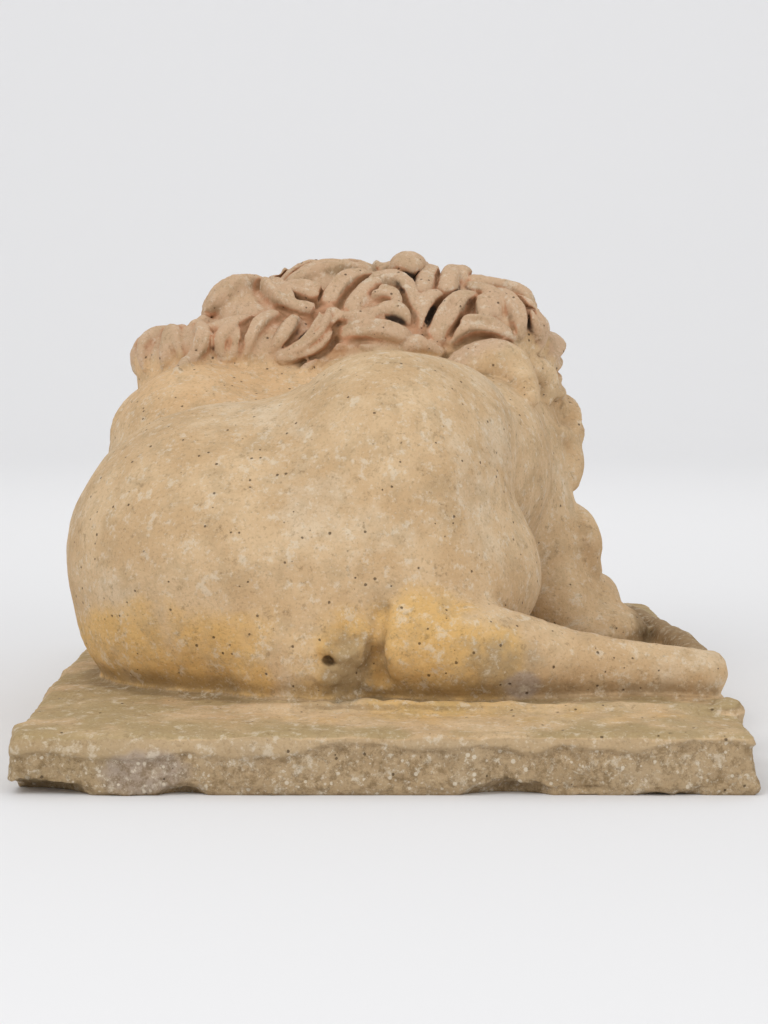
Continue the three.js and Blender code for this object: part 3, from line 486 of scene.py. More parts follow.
# Gloss and bump: noise as size, detail and roughness, and heights in millimetres
GLOSS_SIZE = 12
GLOSS_EDGE = (0.3, 0.7)
ROUGHNESS = (0.82, 0.96)
SPECULAR = 0.2
FINE_BUMP = (3.0, 6.0, 0.7)
FINE_HEIGHTS = (0.9, 2.2)
WIDE_BUMP = (9, 3.0)
WIDE_HEIGHT = 1.2
BUMP_HEIGHT = 1.0
BUMP_STRENGTH = 0.8

# The floor, which turns up into a round wall, in metres
FLOOR_RADIUS = 2.6
BEND_RADIUS = 1.2
WALL_TOP = 1.4
BEND_STEPS = 12
FLOOR_TURNS = 64
FLOOR_COLOUR = (0.81, 0.81, 0.82, 1.0)
FLOOR_ROUGHNESS = 0.9

# Soft lights, in metres and watts: name, place, what it looks at, size, power
LION_MIDDLE = (0.0, 0.0, 0.12)
WALL_MIDDLE = (0.0, 3.8, 0.6)
LIGHTS = [
    ("key", (-1.0, -1.5, 1.7), LION_MIDDLE, 1.2, 17.0),
    ("fill", (1.4, -1.5, 0.8), LION_MIDDLE, 1.4, 9.0),
    ("rim", (0.4, 1.5, 1.9), LION_MIDDLE, 1.4, 2.0),
    ("wall", (0.0, 1.2, 2.4), WALL_MIDDLE, 2.0, 18.0),
]
SKY_COLOUR = (1.0, 1.0, 1.0, 1.0)
SKY_STRENGTH = 0.72

# The view, in pixels: the image's height, the focal length, the horizon's row, the slab's near edge
IMAGE_HEIGHT = 1024
FOCAL_PIXELS = 2800.0
HORIZON_ROW = 287.0
NEAR_EDGE_PIXELS = 762.0

# The camera's height over the floor, and the longer side of its sensor
CAMERA_HEIGHT = 267.0
SENSOR = 36.0

# Weights that scramble counters into chance numbers
CHANCE_WEIGHTS = (12.9898, 78.233, 37.719, 9.151)
CHANCE_SCALE = 43758.5453


def smooth_union(a, b, blend):
    """The nearer of two distances, rounded where they meet."""
    if blend <= 0:
        return np.minimum(a, b)
    overlap = np.maximum(blend - np.abs(a - b), 0.0) / blend
    return np.minimum(a, b) - overlap * overlap * blend * 0.25


def chance(*counters):
    """A repeatable number from 0 to 1 for a set of counters."""
    mixed = sum(counter * weight for counter, weight in zip(counters, CHANCE_WEIGHTS))
    value = np.sin(mixed) * CHANCE_SCALE
    return value - np.floor(value)


def smooth_step(value, low, high):
    """0 up to low, 1 from high, with soft ends."""
    t = np.clip((value - low) / (high - low), 0.0, 1.0)
    return t * t * (3.0 - 2.0 * t)


def noise(points, size, seed):
    """Smooth noise from -1 to 1 with lumps about size across."""
    cells = points / size
    base = np.floor(cells)
    t = cells - base
    t = t * t * (3.0 - 2.0 * t)
    total = np.zeros(len(points))
    for corner in np.ndindex(2, 2, 2):
        weight = np.prod(np.where(corner, t, 1.0 - t), axis=1)
        place = base + corner
        total += weight * chance(place[:, 0], place[:, 1], place[:, 2], seed)
    return 2.0 * total - 1.0


def rough_noise(points, size, seed, octaves=3):
    """Noise with finer and fainter noise on it."""
    total = np.zeros(len(points))
    for octave in range(octaves):
        total += noise(points, size / 2 ** octave, seed + octave) / 2 ** octave
    return total


def ellipsoid(centre, radii, turn=0.0):
    """A rounded mass, turned about Z by an angle in degrees: its distance and its box."""
    c, s = math.cos(math.radians(turn)), math.sin(math.radians(turn))
    extent = np.array([
        math.hypot(radii[0] * c, radii[1] * s),
        math.hypot(radii[0] * s, radii[1] * c),
        radii[2],
    ])

    def distance(x, y, z):
        dx, dy, dz = x - centre[0], y - centre[1], z - centre[2]
        u, v = c * dx + s * dy, c * dy - s * dx
        k0 = np.sqrt((u / radii[0]) ** 2 + (v / radii[1]) ** 2 + (dz / radii[2]) ** 2)
        k1 = np.sqrt((u / radii[0] ** 2) ** 2 + (v / radii[1] ** 2) ** 2 + (dz / radii[2] ** 2) ** 2)
        return k0 * (k0 - 1.0) / (k1 + 1e-9)

    return distance, np.array(centre) - extent, np.array(centre) + extent


def curve_through(points, count):
    """A smooth curve through the points, at count even steps."""
    p = np.array(points, float)
    p = np.vstack([2 * p[0] - p[1], p, 2 * p[-1] - p[-2]])
    place = np.linspace(0, len(p) - 3 - 1e-9, count)
    i = place.astype(int)
    t = (place - i)[:, None]
    a, b, c, d = p[i], p[i + 1], p[i + 2], p[i + 3]
    slope = (c - a) * t
    bend = (2 * a - 5 * b + 4 * c - d) * t ** 2
    twist = (3 * b - a - 3 * c + d) * t ** 3
    return 0.5 * (2 * b + slope + bend + twist)


def from_segment(x, y, z, a, b):
    """How far along a segment places lie, from 0 to 1, and their offset from it there."""
    e = b - a
    dx, dy, dz = x - a[0], y - a[1], z - a[2]
    t = np.clip((dx * e[0] + dy * e[1] + dz * e[2]) / max(e @ e, 1e-9), 0, 1)
    return t, dx - t * e[0], dy - t * e[1], dz - t * e[2]


def limb(points, steps=0):
    """A tapered tube through points that carry its radius: its distance and its box."""
    line = curve_through(points, steps or 3 * len(points) - 2)
    place, radius = line[:, :3], line[:, 3]

    def distance(x, y, z):
        nearest = FAR
        for a, b, ra, rb in zip(place[:-1], place[1:], radius[:-1], radius[1:]):
            t, dx, dy, dz = from_segment(x, y, z, a, b)
            gap = np.sqrt(dx ** 2 + dy ** 2 + dz ** 2) - (ra + t * (rb - ra))
            nearest = np.minimum(nearest, gap)
        return nearest

    return distance, (place - radius[:, None]).min(0), (place + radius[:, None]).max(0)


def petal(points, normals, sides, radii, flatness, strands):
    """A limb that is flattened along its normals and fluted into strands across its sides."""
    line = curve_through(np.c_[points, radii, normals, sides], LOCK_STEPS)
    place, radius, up, side = line[:, :3], line[:, 3], line[:, 4:7], line[:, 7:]
    stretch = 1.0 / flatness ** 2 - 1.0

    def distance(x, y, z):
        nearest = FAR
        for i in range(LOCK_STEPS - 1):
            n, s = up[i], side[i]
            t, dx, dy, dz = from_segment(x, y, z, place[i], place[i + 1])
            reach = radius[i] + t * (radius[i + 1] - radius[i])
            rise = dx * n[0] + dy * n[1] + dz * n[2]
            across = (dx * s[0] + dy * s[1] + dz * s[2]) / reach
            valley = 0.5 + 0.5 * np.cos(math.pi * strands * (np.clip(across, -1, 1) + 1))
            depth = FLUTE_DEPTH * np.sin(math.pi * (i + t) / (LOCK_STEPS - 1)) * (strands > 1)
            gap = np.sqrt(dx * dx + dy * dy + dz * dz + stretch * rise * rise)
            nearest = np.minimum(nearest, gap - reach * (1 - depth * valley))
        return nearest

    return distance, (place - radius[:, None]).min(0), (place + radius[:, None]).max(0)


def slab():
    """The slab, with sides that lean in and a top that falls away towards its edges."""
    def distance(x, y, z):
        lean = SLAB_LEAN * z / SLAB_TOP
        side_x = np.abs(x) - WIDTH / 2 + lean
        side_y = np.abs(y) - LENGTH / 2 + lean
        inset = np.clip(-np.maximum(side_x, side_y) / SLAB_DROP_REACH, 0, 1)
        top = SLAB_TOP - SLAB_DROP * (1 - inset) ** 2
        qx, qy = side_x + SLAB_ROUND, side_y + SLAB_ROUND
        qz = np.abs(z - top / 2) - top / 2 + SLAB_ROUND
        outside = np.sqrt(np.maximum(qx, 0) ** 2 + np.maximum(qy, 0) ** 2 + np.maximum(qz, 0) ** 2)
        return outside + np.minimum(np.maximum(np.maximum(qx, qy), qz), 0) - SLAB_ROUND

    corner = np.array([WIDTH / 2, LENGTH / 2, SLAB_TOP])
    return distance, corner * (-1, -1, 0), corner


class Clay:
    """A block of clay: the distance to its surface on a regular grid, negative inside."""

    def __init__(self, low, high, cell):
        self.cell = cell
        self.low = np.array(low, float)
        self.axes = [np.arange(a, b + cell, cell).astype(np.float32) for a, b in zip(low, high)]
        self.field = np.full([len(axis) for axis in self.axes], FAR, np.float32)
        self.body = None

    def window(self, low, high, reach):
        """The part of the grid within reach of a box, as slices, and the places there."""
        slices = []
        for axis, a, b in zip(self.axes, low, high):
            first = np.searchsorted(axis, a - reach) - 1
            last = np.searchsorted(axis, b + reach) + 1
            slices.append(slice(max(first, 0), min(last, len(axis))))
        x, y, z = (axis[part] for axis, part in zip(self.axes, slices))
        return tuple(slices), (x[:, None, None], y[None, :, None], z[None, None, :])

    def over(self, shape, blend):
        """The part of the grid that a shape reaches with its blend, and its distance there."""
        distance, low, high = shape
        part, place = self.window(low, high, blend + REACH)
        return part, distance(*place)

    def add(self, shape, blend=0.0):
        """Presses a shape onto the clay."""
        part, gap = self.over(shape, blend)
        self.field[part] = smooth_union(self.field[part], gap, blend)

    def carve(self, shape, blend=0.0):
        """Takes a shape out of the clay."""
        part, gap = self.over(shape, blend)
        self.field[part] = -smooth_union(-self.field[part], gap, blend)

    def freeze(self):
        """Keeps the body as it is now, for locks to lie on."""
        self.body = self.field.copy()

    def sample(self, points, field):
        """A field at points between the grid's corners."""
        place = (np.asarray(points, float) - self.low) / self.cell
        place = np.clip(place, 0, np.array(field.shape) - 1.001)
        i = place.astype(int)
        t = place - i
        total = 0.0
        for corner in np.ndindex(2, 2, 2):
            weight = np.prod(np.where(corner, t, 1.0 - t), axis=-1)
            total = total + weight * field[tuple(np.moveaxis(i + corner, -1, 0))]
        return total

    def normal(self, points, field, reach):
        """The outward direction at points."""
        steps = np.eye(3) * reach
        pairs = [(points + step, points - step) for step in steps]
        slope = np.stack([self.sample(a, field) - self.sample(b, field) for a, b in pairs], -1)
        return slope / (np.linalg.norm(slope, axis=-1, keepdims=True) + 1e-9)

    def settle(self, point):
        """The point moved onto the body's surface."""
        for _ in range(SETTLE_ROUNDS):
            gap = self.sample(point, self.body)[..., None]
            point = point - SETTLE_SHARE * gap * self.normal(point, self.body, NORMAL_REACH)
        return point

    def rub(self, low, high, times):
        """Rubs the clay soft within a box: each corner takes half of its value from the six beside it."""
        part, _ = self.window(low, high, 0)
        block = self.field[part]
        for _ in range(times):
            around = np.zeros_like(block)
            for axis in range(3):
                around += np.roll(block, 1, axis) + np.roll(block, -1, axis)
            inner = (slice(1, -1),) * 3
            block[inner] = 0.5 * block[inner] + around[inner] / 12.0

    def skin(self):
        """The surface as corners and four-sided faces that look outward."""
        grid = openvdb.FloatGrid(FAR)
        grid.copyFromArray(self.field)
        corners, quads = grid.convertToQuads(0.0)
        return corners.astype(float) * self.cell + self.low, quads[:, ::-1]


def add_masses(clay, masses):
    """Presses rounded masses on, each with its own blend."""
    for _, centre, radii, blend in masses:
        clay.add(ellipsoid(centre, radii), blend)


def add_limbs(clay, limbs, steps=0):
    """Presses tapered limbs on, each with its own blend."""
    for _, blend, *points in limbs:
        clay.add(limb(points, steps), blend)


def add_paws(clay):
    """Two front paws of rounded toes."""
    for x, y, turn in PAWS:
        a = math.radians(turn)
        for toe in range(TOES):
            u = toe - (TOES - 1) / 2
            toe_x = x + u * TOE_PITCH * math.cos(a)
            toe_y = y + TOE_REACH - TOE_ARCH * u * u - u * TOE_PITCH * math.sin(a)
            clay.add(ellipsoid((toe_x, toe_y, PAW_HEIGHT), TOE_RADII, -turn), TOE_BLEND)
        clay.add(ellipsoid((x, y - PAW_SET_BACK, PAW_HEIGHT), PAW_RADII), PAW_BLEND)


def beside_head(side, feature):
    """A feature on one side of the head's middle: its shape and its blend."""
    offset, y, z, radii, turn, blend = feature
    return ellipsoid((HEAD_X + side * offset, y, z), radii, turn * side), blend


def eyelid(side, middle):
    """A thin limb from corner to corner of the eye on one side, over its middle."""
    x = HEAD_X + side * EYE_OFFSET
    offset, *corner = LID_CORNER
    return limb([(x - offset, *corner), (x, *middle), (x + offset, *corner)])


def along_middle(line, side=1):
    """Points given by their offset from the head's middle, on one side of it."""
    return [(HEAD_X + side * offset, *rest) for offset, *rest in line]


def add_face(clay):
    """A plain lion's face: muzzle, chin, cheeks, brows, eyes, nose and mouth."""
    add_limbs(clay, MUZZLE)
    add_masses(clay, [CHIN])
    for feature in (CHEEK, WHISKER_PAD):
        for side in SIDES:
            clay.add(*beside_head(side, feature))
    for side in SIDES:
        clay.add(*beside_head(side, BROW))
        clay.carve(*beside_head(side, SOCKET))
        clay.add(*beside_head(side, EYEBALL))
        for middle in LIDS:
            clay.add(eyelid(side, middle), LID_BLEND)
    add_masses(clay, [NOSE])
    for side in SIDES:
        clay.carve(*beside_head(side, NOSTRIL))
    clay.carve(limb(along_middle(MOUTH[:0:-1], -1) + along_middle(MOUTH)), MOUTH_BLEND)
    clay.carve(limb(along_middle(GROOVE)), MOUTH_BLEND)


def add_ears(clay):
    """Two round ears that stand out of the mane."""
    for side in SIDES:
        clay.add(*beside_head(side, EAR))
        clay.carve(*beside_head(side, EAR_HOLLOW))


def carve_crease(clay):
    """The crease that runs down beside the hock, cut where the body shows from behind."""
    points = [(*seen_from_behind(clay, x, z, -LENGTH / 2), radius) for x, z, radius in HOCK_CREASE]
    clay.carve(limb(points), CREASE_BLEND)


def wear_slab(clay):
    """The lip, the lump and the chips of the slab, and the hole above it."""
    add_limbs(clay, [LIP])
    add_masses(clay, [LUMP])
    for _, centre, radii, blend in CHIPS + [HOCK_HOLE]:
        clay.carve(ellipsoid(centre, radii), blend)


def crawl(clay, start, heading, length, bend):
    """Places along a lock that crawls over the body from a start, bending evenly."""
    point = clay.settle(np.array(start, float))
    heading = np.array(heading, float)
    turn = math.radians(bend) / (STATIONS - 1)
    points = []
    for _ in range(STATIONS):
        normal = clay.normal(point, clay.body, NORMAL_REACH)
        heading = heading - (heading @ normal) * normal
        heading = heading / np.linalg.norm(heading)
        points.append(point)
        heading = heading * math.cos(turn) + np.cross(normal, heading) * math.sin(turn)
        point = clay.settle(point + heading * length / (STATIONS - 1))
    return np.array(points)


def half_wave(along, start, span):
    """The height of a half wave, from 0 to 1, over the part of it that a start and a span give."""
    return np.sin(math.pi * (start + span * along))


def press_lock(clay, points, width, strands=1, bow=LOCK_BOW, moated=True):
    """A lock of hair along places on the body: a fluted petal, which may stand in a shallow moat."""
    if points[:, 2].min() < LOWEST_LOCK:
        return
    normals = clay.normal(points, clay.body, NORMAL_REACH)
    sides = np.cross(normals, np.gradient(points, axis=0))
    sides = sides / (np.linalg.norm(sides, axis=1, keepdims=True) + 1e-9)
    along = np.linspace(0, 1, len(points))
    half = 0.5 * LOCK_FULLNESS * width * half_wave(along, *LOCK_TAPER) ** LOCK_TAPER_POWER
    rise = width * bow * half_wave(along, *LOCK_RISE)
    if moated:
        moat = points + LOCK_MOAT_HEIGHT * width * normals
        clay.carve(petal(moat, normals, sides, half + LOCK_MOAT, LOCK_FLATNESS, 1), LOCK_BLEND)
    clay.add(limb(np.c_[points - ROOT_DEPTH * width * normals, half], LOCK_STEPS), LOCK_BLEND)
    core = points + normals * rise[:, None]
    clay.add(petal(core, normals, sides, half, LOCK_FLATNESS, strands), LOCK_BLEND)


def seen_from_behind(clay, x, z, nearest=HAIR_NEAREST):
    """The place on the body that shows at x and z from behind, no nearer than a given depth."""
    depth = np.arange(nearest, DEEPEST, RAY_STEP)
    line = np.stack([np.full_like(depth, x), depth, np.full_like(depth, z)], -1)
    inside = clay.sample(line, clay.body)
    first = np.argmax(inside < 0) if (inside < 0).any() else np.argmin(inside)
    return line[first]


def seen_from_neck(clay, direction):
    """The place where a ray from inside the neck leaves the body."""
    reach = np.arange(*NECK_REACH, RAY_STEP)
    outside = clay.sample(NECK + direction * reach[:, None], clay.body) > 0
    return NECK + direction * reach[np.argmax(outside) if outside.any() else -1]


def drawn(clay, start, middle, end):
    """Places on the body along a bow that shows from behind through three points."""
    a, m, b = (np.array(point, float) for point in (start, middle, end))
    pull = 2 * m - (a + b) / 2
    t = np.linspace(0, 1, STATIONS)[:, None]
    flat = (1 - t) ** 2 * a + 2 * t * (1 - t) * pull + t * t * b
    points = np.array([seen_from_behind(clay, x, z) for x, z in flat])
    for _ in range(DRAWN_SMOOTHINGS):
        points[1:-1, 1] = 0.5 * points[1:-1, 1] + 0.25 * (points[:-2, 1] + points[2:, 1])
    return clay.settle(points)


def add_back_locks(clay):
    """The locks that show from behind."""
    for *bow, width, strands in FRINGE_LOCKS + LEFT_LOCKS + CROWN_LOCKS + RIGHT_LOCKS:
        press_lock(clay, drawn(clay, *bow), width, max(strands, int(width / STRAND_WIDTH)))
    for *bow, width, strands in COLLAR_LOBES:
        press_lock(clay, drawn(clay, *bow), width, strands)
    for *bow, width, strands in SIDE_DROPS:
        press_lock(clay, drawn(clay, *bow), width, strands, DROP_BOW, moated=False)


def outward(clock, polar):
    """The direction at an angle from straight back and a clock angle around it, in degrees."""
    a, b = math.radians(clock), math.radians(polar)
    return np.array([math.sin(b) * math.sin(a), -math.cos(b), math.sin(b) * math.cos(a)])


def varied(size, *counters):
    """A size, a little larger or smaller by chance."""
    return size * (LEAST_SHARE + SHARE_SPREAD * chance(*counters))


def has_tier_lock(polar, clock):
    """Whether a tier has a lock there, clear of the locks seen from behind and of the face."""
    over_back_locks = polar < BACK_POLAR and BACK_CLOCK[0] < clock < BACK_CLOCK[1]
    over_face = polar > FACE_POLAR and abs(clock) < FACE_CLOCK
    return not (over_back_locks or over_face)


def add_tier_lock(clay, tier, j, polar, clock):
    """One lock of a tier around the face, which spreads back and sweeps down."""
    a = math.radians(clock)
    tilt = polar + TIER_TILT * (chance(tier, j) - 0.5)
    around = np.array([math.cos(a), 0, -math.sin(a)]) * np.sign(clock)
    sweep = TIER_SWEEP * abs(math.sin(a)) + TIER_SWEEP_SPREAD * (chance(tier, j, 2) - 0.5)
    heading = sweep * around - outward(clock, tilt + 90)
    start = seen_from_neck(clay, outward(clock, tilt))
    length = varied(TIER_LOCK_LENGTH, tier, j, 3)
    width = varied(TIER_LOCK_WIDTH, tier, j, 4)
    points = crawl(clay, start, heading, length, TIER_BEND * (chance(tier, j, 5) - 0.5))
    press_lock(clay, points, width, TIER_STRANDS, moated=False)


def add_face_locks(clay):
    """Tiers of locks that spread back from the face over the neck and chest."""
    for tier, polar in enumerate(FACE_TIERS):
        around = 2 * math.pi * TIER_RADIUS * math.sin(math.radians(polar))
        count = int(around / TIER_LOCK_PITCH)
        for j in range(count):
            clock = -180 + 360 * (j + 0.5 * (tier % 2)) / count
            if has_tier_lock(polar, clock):
                add_tier_lock(clay, tier, j, polar, clock)


def add_side_locks(clay):
    """Locks that hang over the left shoulder."""
    for tier, polar in enumerate(SIDE_TIERS):
        for j in range(SIDE_LOCKS):
            clock = SIDE_CLOCK - SIDE_CLOCK_PITCH * j - SIDE_TIER_SHIFT * tier
            start = seen_from_neck(clay, outward(clock, polar))
            bend = SIDE_BEND * (chance(tier, j, 7) - 0.5)
            points = crawl(clay, start, SIDE_HEADING, SIDE_LENGTH, bend)
            press_lock(clay, points, SIDE_WIDTH, TIER_STRANDS, DROP_BOW, moated=False)


def sculpt():
    """The whole casting in clay."""
    corner = np.array([WIDTH / 2, LENGTH / 2, 0])
    clay = Clay(-corner - MARGIN, corner + (MARGIN, MARGIN, HEIGHT + MARGIN), CELL)
    add_masses(clay, HINDQUARTERS + TRUNK)
    add_limbs(clay, FORELEGS)
    add_masses(clay, [ELBOW])
    add_paws(clay)
    add_masses(clay, NECK_MASSES + MANE_HUMPS)
    add_limbs(clay, [FRINGE_ROLL])
    add_face(clay)
    add_masses(clay, [HOCK])
    add_limbs(clay, [HIND_FOOT], HIND_FOOT_STEPS)
    add_limbs(clay, TAIL)
    clay.add(slab(), SLAB_BLEND)
    wear_slab(clay)
    clay.freeze()
    add_face_locks(clay)
    add_ears(clay)
    add_side_locks(clay)
    add_back_locks(clay)
    clay.rub(RUBBED_LOW, RUBBED_HIGH, RUBS)
    carve_crease(clay)
    return clay


def linear(code):
    """A colour written as six hex digits, as linear red, green and blue."""
    parts = [int(code[i:i + 2], 16) / 255 for i in (0, 2, 4)]
    return [p / 12.92 if p <= 0.04045 else ((p + 0.055) / 1.055) ** 2.4 for p in parts] + [1.0]


def placed(name, data):
    """A new object in the scene that shows a mesh, a light or a camera."""
    made = bpy.data.objects.new(name, data)
    bpy.context.collection.objects.link(made)
    return made


def mesh_object(name, corners, faces):
    """A smooth-shaded mesh from corners in millimetres."""
    mesh = bpy.data.meshes.new(name)
    mesh.from_pydata((corners * METRES).tolist(), [], faces.tolist())
    mesh.shade_smooth()
    return placed(name, mesh)


def thinned(made, most):
    """The object's mesh with flat stretches in fewer faces, no more than most triangles in all."""
    triangles = sum(len(p.vertices) - 2 for p in made.data.polygons)
    if triangles <= most:
        return made
    modifier = made.modifiers.new("thin", "DECIMATE")
    modifier.ratio = most / triangles
    graph = bpy.context.evaluated_depsgraph_get()
    mesh = bpy.data.meshes.new_from_object(made.evaluated_get(graph))
    made.modifiers.clear()
    made.data = mesh
    return made


def corners_of(made):
    """The corners of an object's mesh, in millimetres."""
    values = np.empty(len(made.data.vertices) * 3)
    made.data.vertices.foreach_get("co", values)
    return values.reshape(-1, 3) / METRES


def move_corners(made, corners):
    """Puts an object's corners at places in millimetres."""
    made.data.vertices.foreach_set("co", (corners * METRES).ravel())
    made.data.update()


def flattened(corners):
    """Corners with those that nearly touch the floor put onto it."""
    corners[:, 2] = np.where(corners[:, 2] < FLAT, 0.0, corners[:, 2])
    return corners


def near(points, centre, radii, soft):
    """1 inside an ellipsoid, fading to 0 outside it."""
    reach = np.sqrt((((points - centre) / radii) ** 2).sum(1))
    return 1.0 - smooth_step(reach, 1.0 - soft, 1.0 + soft)


def between(value, rise, fall):
    """1 where a value lies between two soft steps."""
    return smooth_step(value, *rise) * (1.0 - smooth_step(value, *fall))


def patchy(drift, patch):
    """A share that comes and goes with drifting noise, from its middle and its swing."""
    middle, swing = patch
    return middle + swing * drift


def worn(points, amount, wear):
    """Lumps of one kind of wear, as far as its amount lets them stand out."""
    height, size, seed, octaves = wear
    return amount * height * rough_noise(points, size, seed, octaves)


def on_slab_side(points, normals):
    """1 on the slab's sides, 0 elsewhere."""
    upright = 1.0 - smooth_step(normals[:, 2], *SIDE_FACES)
    return upright * (1.0 - smooth_step(points[:, 2], *SLAB_EDGE))


def broken_away(points, side):
    """1 on the lower part of the slab's sides, whose face has broken off along a ragged line."""
    line = BREAK_LOW + (BREAK_HIGH - BREAK_LOW) * smooth_step(points[:, 0], *BREAK_RISE)
    line = line + worn(points, 1.0, BREAK_WANDER)
    return side * smooth_step(line - points[:, 2], *BREAK_SOFT)


def weather(clay, points, normals):
    """How far the weathered surface stands out from the sculpted one, in millimetres."""
    side = on_slab_side(points, normals)
    broken = broken_away(points, side)
    low = 1.0 - smooth_step(points[:, 2], *LOW_WEAR_FADE)
    rise = worn(points, 1.0, SKIN_WEAR)
    rise += worn(points, side, SIDE_WEAR)
    rise += broken * (worn(points, 1.0, BREAK_WEAR) - BREAK_DEPTH)
    rise += worn(points, low * (1.0 - broken), LOW_WEAR)
    rise += worn(points, near(points, *WORN_HOCK), HOCK_WEAR)
    rise += worn(points, near(points, *WORN_LEG), LEG_WEAR)
    rise += worn(points, in_mane(clay, points), MANE_WEAR)
    return rise


def openness(clay, points, normals, reach):
    """1 where the surface is open, 0 deep in a hollow, judged a given reach away from it."""
    return np.clip(clay.sample(points + normals * reach, clay.field) / reach, 0.0, 1.0)


def in_crown(points):
    """1 on the part of the mane that lies high on the neck, 0 elsewhere and on the face."""
    fringe = near(points, *FRINGE_PLACE)
    crown = near(points, *CROWN_PLACE)
    front = near(points, *FRONT_PLACE) * smooth_step(points[:, 1], *FRONT_FROM)
    face = near(points, *FACE_PLACE)
    return np.maximum(np.maximum(crown, fringe), front) * (1.0 - face)


def in_mane(clay, points):
    """1 on the locks and between them high on the neck, less on the lower locks, 0 on the rest."""
    locks = smooth_step(clay.sample(points, clay.body), *LOCK_HEIGHTS)
    cover = np.maximum(locks, CROWN_SHARE * in_crown(points))
    height = smooth_step(points[:, 2], *MANE_HEIGHTS)
    collar = near(points, *COLLAR_PLACE)
    return cover * (LOW_MANE + (1.0 - LOW_MANE) * height) * (1.0 - COLLAR_LOSS * collar)


def in_shaded_hollow(points):
    """1 around the hollows of the mane that get near-black painted shade."""
    hollow_shade = np.zeros(len(points))
    for x, z, radius in SHADED_HOLLOWS:
        place = near(points, (x, SHADED_HOLLOW_Y, z), (radius, SHADED_HOLLOW_REACH, radius), 0.5)
        hollow_shade = np.maximum(hollow_shade, place)
    return hollow_shade


def earthy_stains(points, on_top, side):
    """Ochre low on the hindquarters, olive on the slab's top, and pale clouds elsewhere."""
    x, y, z = points.T
    drift = worn(points, 1.0, WIDE_DRIFT) + worn(points, 1.0, FINE_DRIFT)
    low = 1.0 - smooth_step(z, *OCHRE_FADE)
    hind = (1.0 - smooth_step(y, *HIND_FADE)) * (1.0 - RIGHT_LOSS * smooth_step(x, *RIGHT_FADE))
    before_foot = on_top * near(points, *BEFORE_FOOT)
    ochre = low * hind * patchy(drift, OCHRE_PATCH) * (1.0 - side) * (1.0 - on_top)
    # Extra ochre low on the left of the rump: an ochre stain, partly painted light
    ochre += RUMP_OCHRE_AND_LIGHT * near(points, *OCHRE_AND_LIGHT_RUMP)
    ochre += near(points, *OCHRE_LEG) * patchy(drift, LEG_PATCH)
    ochre += FRONT_OCHRE * before_foot
    olive = on_top * patchy(drift, OLIVE_PATCH) * (1.0 - FRONT_OLIVE_LOSS * before_foot)
    olive += CORNER_OLIVE * side * near(points, *LEFT_CORNER)
    pale = np.clip(patchy(worn(points, 1.0, PALE_DRIFT), PALE_PATCH), 0, 1) * (1.0 - on_top)
    return {"ochre": np.clip(ochre, 0, 1), "olive": np.clip(olive, 0, 1), "pale": pale}


def stains(clay, points, normals):
    """Where each colour lies on the stone, from 0 to 1, by name: stains and dirt, and painted shade at the
    contact with the slab, in crevices and hollows, between the locks and on the tail.
    """
    x, y, z = points.T
    looks_up = normals[:, 2]
    mane = in_mane(clay, points)
    side = on_slab_side(points, normals)
    on_top = smooth_step(looks_up, *TOP_FACES) * (1.0 - smooth_step(z, *ABOVE_SLAB))
    deep = 1.0 - openness(clay, points, normals, WIDE_REACH)
    at_slab = 1.0 - smooth_step(np.abs(z - SLAB_TOP - CONTACT_RISE), *CONTACT_FADE)
    behind = 1.0 - smooth_step(y, *CONTACT_BEHIND)
    grey = near(points, *GREY_HOCK) + FOOT_GREY * near(points, *GREY_FOOT)
    mauve = near(points, *MAUVE_SLAB) + near(points, *MAUVE_FOOT)
    return earthy_stains(points, on_top, side) | {
        "mane": mane,
        "warm": near(points, *WARM_SHOULDER) * (1.0 - mane),
        "grey": np.clip(grey, 0, 1),
        "mauve": np.clip(mauve, 0, 1),
        # Painted shade along the line where the lion sits on the slab
        "contact_shade": at_slab * between(looks_up, *CONTACT_FACES) * behind,
        # Narrow crevices, which get brown dirt, rust on the mane, and painted shade
        "crevice": 1.0 - openness(clay, points, normals, CLOSE_REACH),
        # Painted shade, with some dirt, in wide hollows off the mane and the slab's sides
        "hollow_shade_and_dirt": deep * (1.0 - mane) * (1.0 - side),
        # Painted shade in the wide gaps between the locks of the mane
        "gap": deep * mane,
        # Near-black painted shade in the deepest hollows of the mane
        "hollow": deep * in_shaded_hollow(points),
        "side": side,
        "broken": broken_away(points, side),
        # Dirt and painted shade on the tail along the slab's right edge
        "tail_dirt_and_shade": smooth_step(x, *TAIL_X) * smooth_step(y, *TAIL_Y) * between(z, *TAIL_Z),
    }


def set_attribute(made, name, values):
    """Stores a number for every corner of the mesh."""
    attribute = made.data.attributes.new(name, "FLOAT", "POINT")
    attribute.data.foreach_set("value", np.asarray(values, np.float32))


